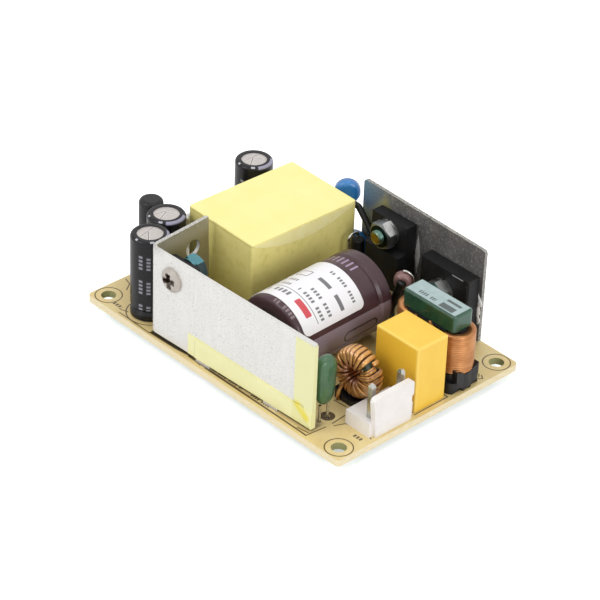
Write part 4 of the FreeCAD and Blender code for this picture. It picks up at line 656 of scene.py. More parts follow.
@dataclass
class Studio:
    """Camera, lamps, floor and surroundings of the view.

    Attributes:
        eye: Place of the camera.
        target: The point on the board that it looks at.
        roll: Its turn about the line of sight in degrees.
        focal: Focal length in picture widths of 600.
        picture: Width of the picture in pixels.
        sensor: Width of the camera's sensor.
        glow: Strength of the surroundings on dull surfaces.
        reach: Half of the floor's side in metres.
        lamps: Each lamp's name, place in metres, side in metres and power in watts.
    """

    eye: Triple = (370.958, -299.717, 317.671)
    target: Triple = (30.47, 32.57, 0.0)
    roll: float = 2.29
    focal: float = 2726.18
    picture: float = 600.0
    sensor: float = 36.0
    glow: float = 0.85
    reach: float = 3.0
    lamps: Tuple[Tuple[str, Triple, float, float], ...] = (
        ("overhead", (0.1, 0.15, 1.0), 0.6, 1.2), ("front", (-0.3, -0.8, 0.8), 0.5, 3.0),
        ("side", (0.95, -0.2, 0.45), 0.4, 2.4))

    def camera(self) -> None:
        """Makes the camera at the photograph's view."""
        data = bpy.data.cameras.new("camera")
        data.sensor_width = self.sensor
        data.lens = self.sensor * self.focal / self.picture
        data.clip_start = 0.01
        data.clip_end = 20.0
        seen = bpy.data.objects.new("camera", data)
        eye = (Vector(self.eye) + Vector(ORIGIN)) * MM
        target = (Vector(self.target) + Vector(ORIGIN)) * MM
        back = (eye - target).normalized()
        right = Vector((0, 0, 1)).cross(back).normalized()
        up = back.cross(right)
        turn = math.radians(self.roll)
        side = right * math.cos(turn) + up * math.sin(turn)
        head = up * math.cos(turn) - right * math.sin(turn)
        matrix = Matrix((side, head, back)).transposed().to_4x4()
        matrix.translation = eye
        seen.matrix_world = matrix
        bpy.context.scene.collection.objects.link(seen)
        bpy.context.scene.camera = seen

    def lamp(self, name: str, place: Triple, size: float, power: float) -> None:
        """Adds a square area lamp that looks at the board.

        Args:
            name: The lamp's name.
            place: Its place in metres.
            size: Its side in metres.
            power: Its power in watts.
        """
        data = bpy.data.lights.new(name, "AREA")
        data.size = size
        data.energy = power
        made = bpy.data.objects.new(name, data)
        made.location = place
        made.rotation_euler = (-Vector(place)).to_track_quat("-Z", "Y").to_euler()
        bpy.context.scene.collection.objects.link(made)

    def surroundings(self) -> None:
        """Makes the surroundings, white where they are seen or mirrored, and the soft lamps."""
        world = bpy.data.worlds.new("surroundings")
        g = Graph("surroundings", world)
        seen = g.rays("Is Camera Ray").high(g.rays("Is Glossy Ray")).high(g.rays("Is Transmission Ray"))
        plain = g.node("Background", {}, {"Color": (1, 1, 1, 1), "Strength": self.glow}).outputs[0]
        white = g.node("Background", {}, {"Color": (1, 1, 1, 1), "Strength": 1.0}).outputs[0]
        shown = g.node("MixShader", {}, {0: seen, 1: plain, 2: white}).outputs[0]
        g.node("OutputWorld", {}, {"Surface": shown})
        bpy.context.scene.world = world
        for lamp in self.lamps:
            self.lamp(*lamp)

    def floor(self) -> None:
        """Makes the pale floor, which keeps the object's shadow and is clear from beneath."""
        half = self.reach
        corners = [(-half, -half, 0), (half, -half, 0), (half, half, 0), (-half, half, 0)]
        mesh = bpy.data.meshes.new("floor")
        mesh.from_pydata(corners, [], [(0, 1, 2, 3)])
        made = bpy.data.objects.new("floor", mesh)
        bpy.context.scene.collection.objects.link(made)
        g = Graph("floor")
        mirrored = g.rays("Is Glossy Ray").high(g.rays("Is Transmission Ray"))
        soft = g.noise(0.002, 2.0)
        tone = g.mix(soft, "F6F6F6", "FAFAFA")
        seen = g.node("BsdfDiffuse", {}, {"Color": tone}).outputs[0]
        glow = g.node("Emission", {}, {"Color": (1, 1, 1, 1), "Strength": 0.5}).outputs[0]
        lifted = g.node("AddShader", {}, {0: seen, 1: glow}).outputs[0]
        plain = g.node("BsdfDiffuse", {}, {"Color": (0.8, 0.8, 0.8, 1)}).outputs[0]
        bright = g.node("MixShader", {}, {0: mirrored, 1: plain, 2: seen}).outputs[0]
        chosen = g.node("MixShader", {}, {0: g.rays("Is Camera Ray"), 1: bright, 2: lifted}).outputs[0]
        beneath = g.node("NewGeometry", {}, {}).outputs["Backfacing"]
        clear = g.node("BsdfTransparent", {}, {}).outputs[0]
        shown = g.node("MixShader", {}, {0: beneath, 1: chosen, 2: clear}).outputs[0]
        g.node("OutputMaterial", {}, {"Surface": shown})
        mesh.materials.append(g.material)

    def build(self) -> None:
        """Makes the whole studio."""
        self.camera()
        self.surroundings()
        self.floor()
        bpy.context.scene.view_settings.view_transform = "Standard"


@dataclass
class Board:
    """The laminate with its printed lines, its masked underside and its solder.

    Attributes:
        hole_inset: Distance of the mounting holes from both edges.
        hole_radius: Their radius.
        ring_radius: Radius of the printed rings round them.
        line: Half width of the printed lines.
        circles: Centre, radius and half width of the other printed rings.
        outlines: Printed lines, as the points that they pass.
        bold: The broad line's two ends.
        rows: Printed dashes: start, length, height and pitch of each row.
        tracks: Copper tracks on the underside, as the points that they pass.
        track_half: Their half width.
        pads: Centre and half size of the copper fields on the underside.
        shadow_span: Start and end of the painted shadow strip behind the output sink's foot.
    """

    hole_inset: float = 3.175
    hole_radius: float = 1.6
    ring_radius: float = 2.85
    line: float = 0.13
    circles: Tuple[Tuple[Pair, float, float], ...] = (((13.5, 5.7), 4.95, 0.13), ((64.1, 8.6), 1.0, 0.55))
    outlines: Tuple[Line, ...] = (
        ((9.5, 0.75), (19.3, 0.6), (19.45, 1.8)), ((29.9, 1.6), (34.7, 0.95), (35.3, 1.7)),
        ((36.1, 1.0), (66.0, 1.0), (66.5, 5.8)), ((66.5, 7.7), (66.2, 11.3)), ((61.1, 13.3), (64.2, 13.5)),
        ((67.3, 7.4), (68.2, 9.5), (70.2, 10.6), (75.1, 9.9)), ((75.0, 22.0), (75.0, 31.4), (73.4, 31.4)),
        ((72.3, 40.9), (73.6, 41.9), (74.2, 41.2)), ((73.9, 39.6), (75.2, 41.3), (74.2, 42.0)),
        ((0.9, 9.8), (2.7, 9.3), (4.1, 7.3)), ((8.6, 1.6), (10.6, 2.2)), ((64.6, 49.1), (64.9, 50.3)),
        ((63.0, 1.5), (65.6, 1.9)), ((22.0, 12.5), (22.0, 16.6), (29.0, 16.6)), ((60.0, 45.0), (60.0, 48.0)))
    bold: Line = ((30.9, 1.3), (66.0, 1.0))
    rows: Tuple[Row, ...] = (
        ((36.2, 1.9), 10.2, 0.7, 0.62), ((49.0, 1.9), 6.0, 0.7, 0.62), ((6.0, 2.2), 2.6, 0.9, 0.8),
        ((72.0, 8.2), 2.4, 0.9, 0.8), ((2.2, 14.5), 3.4, 0.9, 0.8), ((60.2, 3.4), 2.6, 0.9, 0.8))
    tracks: Tuple[Line, ...] = (
        ((10, 21), (10, 44), (24, 46)), ((13.5, 5.7), (20, 9), (20, 19)), ((30, 20), (36, 14), (46, 11)),
        ((44, 36), (52, 42), (57, 46)), ((62.9, 20), (60, 30), (60.5, 40)), ((72.9, 12), (72, 22), (68, 26)),
        ((64, 47), (72, 44), (72, 34)), ((3.3, 21), (9, 14.9), (12, 13)), ((38, 47), (34, 40), (40, 30)))
    track_half: float = 1.1
    pads: Tuple[Tuple[Pair, Pair], ...] = (
        ((17.5, 8.5), (4.5, 4.0)), ((6.0, 37.0), (2.6, 6.5)), ((47.0, 9.0), (5.5, 2.4)))
    shadow_span: Pair = (19.0, 66.0)

    def holes(self, u: Value, v: Value, radius: float) -> Value:
        """Returns the signed distance to a disc of some radius round every mounting hole.

        Args:
            u: First coordinate in millimetres.
            v: Second coordinate in millimetres.
            radius: Radius of the discs.

        Returns:
            The distance, negative inside.
        """
        corner = (BOARD_MIDDLE[0] - self.hole_inset, BOARD_MIDDLE[1] - self.hole_inset)
        return disc(abs(u - BOARD_MIDDLE[0]), abs(v - BOARD_MIDDLE[1]), corner, radius)

    def prints(self, u: Value, v: Value) -> Value:
        """Returns the mask of the printed lines, rings and dashes on the top face.

        Args:
            u: First coordinate in millimetres.
            v: Second coordinate in millimetres.

        Returns:
            One on ink and zero elsewhere.
        """
        lines = [abs(self.holes(u, v, self.ring_radius)) - self.line]
        lines += [ring(u, v, *circle) for circle in self.circles]
        lines += [stroke(u, v, line, self.line) for line in self.outlines]
        lines.append(bar(u, v, *self.bold, 0.2))
        return least(lines).inside(0.1).high(printed(u, v, self.rows))

    def copper(self, u: Value, v: Value) -> Value:
        """Returns the mask of the copper under the underside's mask.

        Args:
            u: First coordinate in millimetres.
            v: Second coordinate in millimetres.

        Returns:
            One over copper and zero elsewhere.
        """
        lines = [stroke(u, v, track, self.track_half) for track in self.tracks]
        lines += [panel(u, v, centre, half, 0.6) for centre, half in self.pads]
        return least(lines).inside(0.12)

    def laminate(self) -> bpy.types.Material:
        """Returns the board's finish: amber on top with a painted shadow behind the output sink's foot, green mask
        below, cream on its sides.

        Returns:
            The material.
        """
        g = Graph("laminate")
        u, v, _ = g.place()
        cloud = g.noise(0.22, 3.0)
        weave = g.streaks(3.0, (1.0, 4.0, 1.0)) * 0.5 + g.streaks(3.0, (4.0, 1.0, 1.0)) * 0.5
        top = g.mix((cloud * 1.8 - 0.4).clamp(), "DCC182", "E4D29A")
        top = g.mix((weave - 0.45).clamp() * 0.9, top, "C2A258")
        # Painted shadow: the board top is darkened to near black in a strip behind the output sink's foot, weaker
        # towards the right.
        start, end = self.shadow_span
        behind = v - (0.95 + (u - start) * 0.0332) + u.ramp(31.0, 27.0) * 0.4
        dark = behind.ramp(-0.1, 0.2) * behind.ramp(4.5, 2.5)
        dark = dark * u.ramp(start, start + 0.6) * u.ramp(end, end - 0.6)
        top = g.mix(dark * (0.95 - u.ramp(29.0, 49.0) * 0.3), top, "1A130C")
        printed = self.prints(u, v) * (0.72 + g.noise(5.0) * 0.5).clamp()
        top = g.mix(printed * 0.95, top, "3A240C")
        copper = self.copper(u, v)
        below = g.mix(copper, "3C7E48", "66A868")
        below = g.mix((g.noise(0.5) - 0.4).clamp() * 0.6, below, "2C6438")
        layers = g.streaks(5.0, (6.0, 6.0, 1.0))
        side = g.mix(layers, "DCC692", "F4EACC")
        side = g.mix(self.holes(u, v, self.hole_radius + 0.3).inside(0.1), side, "A3A06C")
        colour = g.mix(g.facing(Face.TOP), g.mix(g.facing(Face.BOTTOM), side, below), top)
        height = weave * 0.6 + copper * g.facing(Face.BOTTOM) * 0.8
        return g.finish(colour, 0.42 + (cloud - 0.5) * 0.2, normal=g.bump(height, 0.012), coat=0.12)

    def build(self) -> None:
        """Dresses the board and its solder."""
        dress(self.laminate(), "circuit_board")
        solder = Finish("solder", "D2D2D0", "9C9C9A", rough=0.22, metal=1.0, grain=2.5, depth=0.02)
        dress(solder.material(), "solder_joints")


@dataclass
class OutputSink:
    """The folded sheet along the near edge, with its tape.

    Attributes:
        left: Where its outer corner stands along the board.
        length: Length of its plate.
        fold: Width and height of the tape's folded corner.
    """

    left: float = 19.0
    length: float = 47.0
    fold: Pair = (5.4, 4.4)

    def sheet(self) -> bpy.types.Material:
        """Returns brushed bare sheet with grey specks, soft streaks, bright cut edges and a painted yellow reflection
        on the flange's inner face.

        Returns:
            The material.
        """
        g = Graph("bare_sheet")
        x, _, z = g.place()
        streak = g.streaks(1.6, (1.0, 1.0, 9.0), 3.0)
        specks = g.cells(1.9).ramp(0.16, 0.06) * g.noise(0.8).ramp(0.42, 0.54)
        fine = g.noise(4.2, 3.0, 0.7).ramp(0.57, 0.65)
        _, colour = g.patchy(0.12, "E3E2DF", "ECEBE8", 1.8, 0.4)
        colour = g.mix(streak * 0.3, colour, "C6C5C1")
        colour = g.mix((specks * 0.8 + fine * 0.6).clamp(), colour, "8E8F94")
        edge = g.facing(Face.TOP)
        colour = g.mix(edge * (0.2 + fine * 0.5), colour, "B4B1AA")
        scuff = z.ramp(19.2, 21.2) * g.noise(2.4, 3.0).ramp(0.62, 0.5) * x.ramp(24.0, 20.0)
        colour = g.mix(scuff * 0.5, colour, "8E8A84")
        # Painted reflection: the folded flange's inner face is tinted olive yellow, as the transformer's tape
        # mirrored in it, weaker towards the top.
        inner = g.facing(Face.RIGHT) * x.ramp(21.5, 21.0)
        colour = g.mix(inner * (0.85 - z.ramp(17.0, 22.0) * 0.35), colour, "857A3C")
        rough = 0.4 + streak * 0.16 + edge * 0.1
        height = fine * 0.5 + streak * 0.5
        return g.finish(colour, rough, metal=0.45, normal=g.bump(height, 0.01))

    def tape(self) -> bpy.types.Material:
        """Returns pale yellow tape, a little greyer on the end band, strong yellow on the fold, with a painted shade
        line along the fold's crease.

        Returns:
            The material.
        """
        g = Graph("pale_tape")
        x, _, z = g.place()
        right = self.left + self.length
        cloud, colour = g.patchy(0.35, "E4E1A6", "EDEAB4", 1.6, 0.3)
        colour = g.mix((x - (right - 5.0)).ramp(-0.1, 0.1) * z.ramp(4.4, 5.0), colour, "E3E2AC")
        low = (self.fold[1] + 1.6 - z + (right - self.fold[0] - x) * 0.9).ramp(0.0, 0.3)
        low = low * (x - (right - self.fold[0])).ramp(-0.1, 0.3)
        strong = bar(x, z, (right - 3.9, 4.8), (right - 1.4, 2.9), 0.7).inside(1.3)
        colour = g.mix(low * 0.35, colour, "DDD98C")
        colour = g.mix(strong, colour, "E6D630")
        # Painted shade: a darker line along the crease of the folded corner.
        crease_shade = bar(x, z, (right - self.fold[0], self.fold[1] + 1.5), (right - 0.2, 1.2), 0.06).inside(0.15)
        colour = g.mix(crease_shade * 0.6, colour, "BDB768")
        second = (x - (self.left + 13.9)).band(0.0, 0.12, 0.1) * z.ramp(5.0, 4.9)
        colour = g.mix(second * 0.4, colour, "B5B488")
        ripple = g.streaks(0.8, (3.0, 1.0, 1.0))
        return g.finish(colour, 0.34 + cloud * 0.15, normal=g.bump(ripple, 0.03), coat=0.2)

    def build(self) -> None:
        """Dresses the sheet and the tape."""
        dress(self.sheet(), "output_heatsink")
        dress(self.tape(), "output_heatsink_tape")


@dataclass
class InputSink:
    """The flat dark sheet at the far edge, with a smear of white compound on it.

    Attributes:
        face: Where its inner face stands.
        right: Where its right edge stands.
        smear: Height of the smear's foot, and its length.
    """

    face: float = 49.4
    right: float = 66.0
    smear: Pair = (4.6, 7.4)

    def sheet(self) -> bpy.types.Material:
        """Returns dull speckled sheet: light sheared edges, a painted highlight between the two devices, a painted
        blue and a painted yellow reflection.

        Returns:
            The material.
        """
        g = Graph("dull_sheet")
        x, _, z = g.place()
        specks = g.noise(2.6, 4.0, 0.75).ramp(0.52, 0.64)
        _, colour = g.patchy(0.16, "5C5A5C", "827F7E", 1.8, 0.4)
        colour = g.mix(specks * 0.5, colour, "C2BFB8")
        colour = g.mix(g.noise(6.0).ramp(0.55, 0.65) * 0.45, colour, "4E4E52")
        # Painted reflection: a blue tint at the upper left, as a nearby blue part mirrored in the sheet.
        left = x.ramp(40.0, 32.0) * z.ramp(12.0, 20.0)
        colour = g.mix(left * 0.7, colour, "5A86B4")
        # Painted reflection: a yellow patch, as a nearby yellow part mirrored in the sheet.
        yellow_reflection = (abs(x - 37.5) / 4.5 + abs(z - 16.5) / 6.0 - 1.0).ramp(0.2, -0.5)
        colour = g.mix(yellow_reflection * 0.75, colour, "B5AC5C")
        # Painted highlight: a bright lens shaped streak where the sheet shows between the two devices.
        gap_highlight = (abs(x - 47.45) / 0.85 + abs(z - 12.8) / 5.2 - 1.0).ramp(0.05, -0.15)
        colour = g.mix(gap_highlight, colour, "F4F3EE")
        edge = g.facing(Face.TOP).high(g.facing(Face.RIGHT)).high(g.facing(Face.LEFT))
        sheared = (g.streaks(2.6, (0.5, 1.0, 0.5), 3.0) - 0.35).ramp(0.0, 0.3)
        cut = g.mix(sheared, "5C5A57", "BDBAB3")
        colour = g.mix(edge, colour, cut)
        rough = 0.3 + specks * 0.25 + edge * 0.2
        return g.finish(colour, rough, metal=0.4, normal=g.bump(specks * 0.5 + edge * sheared, 0.02))

    def compound(self) -> None:
        """Adds the white smear at the sheet's right edge.

        With s from zero to one up the smear, the half width is the bump
        sin(pi s)^0.6 + 0.03 shaken by two waves, and the half depth is 0.3 of that bump.
        """
        s = np.linspace(0.0, 1.0, 40)
        swell = np.sin(np.pi * s) ** 0.6 + 0.03
        half = swell * (0.62 + 0.2 * np.sin(19 * s) + 0.12 * np.sin(37 * s + 1.0))
        foot, rise = self.smear
        path = np.stack([self.right - 0.6 + 0.25 * np.sin(11 * s), np.full(40, self.face - 0.02), foot + rise * s],
                        axis=1)
        white = Finish("compound", "F6F4F2", "E2DEDC", rough=0.6, grain=3.0, depth=0.03).material()
        shell("compound_smear", swept(path, ALONG_BOARD, half, 0.3 * swell), white)

    def build(self) -> None:
        """Dresses the sheet and adds the smear."""
        dress(self.sheet(), "input_heatsink")
        self.compound()


@dataclass
class Fasteners:
    """Screws, washers, nuts and pads, and the thread that stands out of the transistor's nut.

    Attributes:
        radius: Radius of the thread's root.
        pitch: Rise of the thread in one turn.
        ridge: Height of its ridge.
        reach: Length of the thread that shows beyond a nut.
        start: Where the thread beyond the transistor's nut starts.
        head: Centre of the near screw's head, along the board and up.
    """

    radius: float = 1.43
    pitch: float = 0.4
    ridge: float = 0.12
    reach: float = 0.95
    start: Triple = (42.0, 43.28, 17.0)
    head: Pair = (25.8, 16.1)

    def zinc(self, name: str) -> bpy.types.Material:
        """Returns bright zinc: blue green on the inner side with painted highlights on its upward faces, yellow at
        the screw's end.

        The near faces of the far fasteners are painted dark green black as a dark reflection. The near screw's head
        is paler and duller, and its cross recess is painted dark as shade.

        Args:
            name: The material's name.

        Returns:
            The material.
        """
        g = Graph(name)
        x, y, z = g.place()
        scratch = g.streaks(4.0, (1.0, 5.0, 1.0))
        _, colour = g.patchy(0.6, "A9AAA8", "D9DAD8", 1.7, 0.4)
        # Painted highlight: the blue green on the inner side is lighter on upward faces.
        cool = x.ramp(34.0, 32.0) * y.ramp(2.2, 2.8)
        colour = g.mix(cool * 0.9, colour, g.mix(g.facing(Face.TOP, 0.6, 0.9), "16383D", "4A8C96"))
        far = y.ramp(30.0, 31.0) * y.ramp(43.25, 43.15)
        colour = g.mix(far * 0.75, colour, "2E7A68")
        # Painted reflection: near faces of the far fasteners are painted dark green black.
        near = g.facing(Face.NEAR, 0.8, 0.95)
        colour = g.mix(near * y.ramp(30.0, 31.0), colour, "22302B")
        colour = g.mix(near * y.ramp(42.6, 42.5) * y.ramp(30.0, 31.0), colour, "C2A53E")
        head = y.ramp(1.9, 1.5) * x.ramp(18.0, 19.0)
        colour = g.mix(head * 0.8, colour, "B4AAA0")
        u, v = x - self.head[0], z - self.head[1]
        spun = (u * 0.94 + v * 0.34, v * 0.94 - u * 0.34)
        # Painted shade: the cross recess in the near screw's head is painted dark.
        cross = least([bar(*spun, (-1.4, 0.0), (1.4, 0.0), 0.42), bar(*spun, (0.0, -1.4), (0.0, 1.4), 0.42)])
        colour = g.mix(cross.inside(0.2) * head, colour, "3A2A22")
        return g.finish(colour, 0.26 + scratch * 0.16, metal=1.0 - head * 0.5, normal=g.bump(scratch, 0.008))

    def thread(self, name: str, place: Triple, towards: Triple, material: bpy.types.Material) -> None:
        """Adds a threaded sleeve round a screw's end.

        At the turn t and the angle a, the radius is that of the root and a hair, plus
        ridge (1 - |2 frac(t - a / 2 pi) - 1|), and the place along the axis is pitch t.

        Args:
            name: The piece's name.
            place: Centre of the sleeve's start.
            towards: Direction of the axis.
            material: Its material.
        """
        turns = self.reach / self.pitch
        t = np.linspace(0.0, turns, int(turns * 10) + 1)
        a = np.linspace(0.0, 2 * np.pi, 40, endpoint=False)
        saw = 1.0 - np.abs(2.0 * ((t[:, None] - a[None, :] / (2 * np.pi)) % 1.0) - 1.0)
        fade = np.minimum(1.0, np.minimum(t, turns - t) * 3.0)[:, None]
        r = self.radius + 0.03 + self.ridge * saw * fade
        axis = np.array(towards) / np.linalg.norm(towards)
        inner = np.full_like(r, self.radius - 0.12)
        outer = self.around(place, axis, r, t * self.pitch, a)
        lining = self.around(place, axis, inner, t * self.pitch, a)
        ringed = np.concatenate([outer, lining[::-1]], axis=0)
        shell(name, ringed, material, round_path=True)

    @staticmethod
    def around(place: Triple, axis: np.ndarray, r: np.ndarray, along: np.ndarray, a: np.ndarray) -> np.ndarray:
        """Returns place + along axis + r (cos(a) up + sin(a) (axis x up)) as a grid.

        Args:
            place: Centre of the grid's start.
            axis: Direction of its axis, of length one.
            r: Radii, rows by columns.
            along: Place of each row along the axis.
            a: Angle of each column.

        Returns:
            The places, rows by columns by three.
        """
        spun = np.cos(a)[None, :, None] * UPWARDS + np.sin(a)[None, :, None] * np.cross(axis, UPWARDS)
        return np.array(place) + along[:, None, None] * axis + r[:, :, None] * spun

    def build(self) -> None:
        """Dresses the fasteners and pads and adds the thread."""
        zinc = self.zinc("bright_zinc")
        dress(zinc, "heatsink_screws", "heatsink_nuts", "lock_washers")
        self.thread("transistor_screw_thread", self.start, (0.0, -1.0, 0.0), zinc)
        dress(Finish("pad", "94949C", "7C7C86", rough=0.7, grain=3.0).material(), "insulating_pads")


@dataclass
class Devices:
    """The three moulded semiconductors, the small packages and their leads.

    Attributes:
        tubing: Points that the sleeve on the thermistor's lead passes.
        tubing_radius: Its mean radius.
    """

    tubing: Tuple[Triple, ...] = (
        (52.9, 39.5, 12.8), (52.4, 38.9, 10.5), (51.9, 38.2, 7.7), (51.5, 37.5, 4.9), (51.2, 37.2, 0.2))
    tubing_radius: float = 0.92

    def moulding(self) -> bpy.types.Material:
        """Returns matt black moulding with a fine grain, a painted highlight line along one top edge and pale scuffs.

        Returns:
            The material.
        """
        g = Graph("device_moulding")
        x, y, z = g.place()
        grain = g.noise(7.0, 3.0, 0.6)
        cloud, colour = g.patchy(0.4, "09090A", "151517", 1.6, 0.4)
        colour = g.mix(grain.ramp(0.6, 0.8) * 0.25, colour, "4A4A50")
        # Painted highlight: a bright line along the bridge's top edge.
        worn = bar(x, z, (60.9, 15.92), (63.8, 15.92), 0.07).inside(0.12) * y.ramp(45.0, 45.2)
        colour = g.mix(worn, colour, "D8D8D8")
        scuffs = g.noise(1.7, 4.0, 0.7).ramp(0.66, 0.71) * x.ramp(61.0, 62.0)
        colour = g.mix(scuffs * 0.6, colour, "8A8A90")
        return g.finish(colour, 0.42 + cloud * 0.2, normal=g.bump(grain, 0.012), gloss=0.3)

    def build(self) -> None:
        """Dresses the devices, the chips and the leads."""
        dress(self.moulding(), "bridge_rectifier", "switching_transistor", "output_rectifier", "optocoupler",
              "control_chip", "snubber_diode")
        dress(Finish("chip", "8A7A5C", "6C5E45", rough=0.5).material(), "chip_parts")
        tin = Finish("tinned", "DAD9D4", "A9A8A2", rough=0.22, metal=1.0, grain=3.0, depth=0.01)
        dress(tin.material(), "bridge_rectifier_leads", "bulk_capacitor_leads", "input_connector_pins",
              "output_capacitor_leads", "output_connector_pins", "output_rectifier_leads", "rod_inductor_leads",
              "safety_capacitor_leads", "small_part_leads", "switching_transistor_leads", "transformer_pins")
        tubing = Finish("tubing", "1A1B19", "0F100E", rough=0.38, coat=0.1, grain=2.0, depth=0.05,
                        gloss=0.35).material()
        dress(tubing, "lead_sleeves")
        bumpy = self.tubing_radius + 0.05 * np.sin(np.linspace(0.0, 31.0, 60))
        sections = swept(eased(self.tubing, 60), ALONG_BOARD, bumpy, bumpy, 20)
        shell("thermistor_tubing", sections, tubing)


@dataclass
class Transformer:
    """The taped transformer, with the loose end of its tape on the right side.

    Attributes:
        left: Where its left side stands.
        right: Where its right side stands.
        near: Where its near side stands.
        far: Where its far side stands.
        top: Height of its top.
        flap: Depth of the loose tape's curve.
        turn: Its turn seen from above, in degrees.
        section: The loose tape's section, as its offset and the share of its depth.
    """

    left: float = 11.45
    right: float = 31.75
    near: float = 17.95
    far: float = 46.55
    top: float = 20.0
    flap: float = 3.1
    turn: float = -1.5
    section: Line = ((0.0, 0.0), (0.03, 0.0), (0.05, 0.35), (0.06, 0.7), (0.07, 1.0), (0.02, 1.01), (0.01, 0.7),
                     (0.0, 0.35))

    def wrap(self) -> bpy.types.Material:
        """Returns glossy yellow tape: its edge line under the top, blotches, and sides painted darker towards the
        foot as shade.

        Returns:
            The material.
        """
        g = Graph("yellow_wrap")
        _, _, z = g.place()
        blotch = g.noise(0.55, 4.0, 0.6)
        _, colour = g.patchy(0.16, "F0E58E", "F6ECA0", 1.6, 0.3)
        up = g.facing(Face.TOP, 0.6, 0.9)
        # Painted shade: the sides darken from the top down to the foot.
        side = g.mix((z / self.top).clamp(), "EADC78", "F6EA98")
        side = g.mix(blotch.ramp(0.5, 0.75) * 0.4, side, "CDBE58")
        line = z.band(self.top - 0.55, 0.07, 0.1)
        side = g.mix(line * 0.5, side, "9A8F3C")
        colour = g.mix(up, side, colour)
        dots = g.cells(0.55).ramp(0.1, 0.05) * up
        colour = g.mix(dots * 0.35, colour, "C9BE66")
        height = blotch * 0.5 + g.streaks(0.7, (1.0, 1.0, 4.0)) * 0.5
        return g.finish(colour, 0.3 + blotch * 0.15, normal=g.bump(height, 0.05), coat=0.25)

    def loose_end(self) -> None:
        """Adds the lens shaped flap of tape on the right side.

        With s from zero to one along the side, the flap hangs from the top by
        flap sin(pi s)^0.8, and its section is a thin loop that stands furthest off the wrap
        at its lower edge. The whole is turned with the transformer.
        """
        s = np.linspace(0.012, 0.988, 60)
        along = self.near + 0.2 + (self.far - self.near - 0.4) * s
        drop = self.flap * np.sin(np.pi * s) ** 0.8
        loop = np.array(self.section)
        x, y = np.broadcast_arrays(self.right + 0.01 + loop[None, :, 0], along[:, None])
        z = self.top - 0.35 - drop[:, None] * loop[None, :, 1]
        centre = ((self.left + self.right) / 2, (self.near + self.far) / 2)
        dx, dy = turned(x - centre[0], y - centre[1], -self.turn)
        # Painted light: the flap's tape is paler than the wrap, as the light that the flap catches facing slightly
        # up.
        tape = Finish("loose_tape", "FFF8BC", "F8ECA0", rough=0.32, coat=0.3, grain=1.2, depth=0.02,
                      patch=0.5).material()
        grid = np.stack([centre[0] + dx, centre[1] + dy, z], axis=2)
        shell("transformer_tape_end", grid, tape, smooth=False)

    def build(self) -> None:
        """Dresses the transformer and adds the loose end of its tape."""
        dress(self.wrap(), "transformer_wrap")
        dress(Finish("ferrite", "3A3A3C", "29292B", rough=0.55, grain=5.0, depth=0.02).material(),
              "transformer_core_far", "transformer_core_near")
        dress(Finish("bobbin", "1C1C1E", "121214", rough=0.5).material(), "transformer_bobbin")
        self.loose_end()


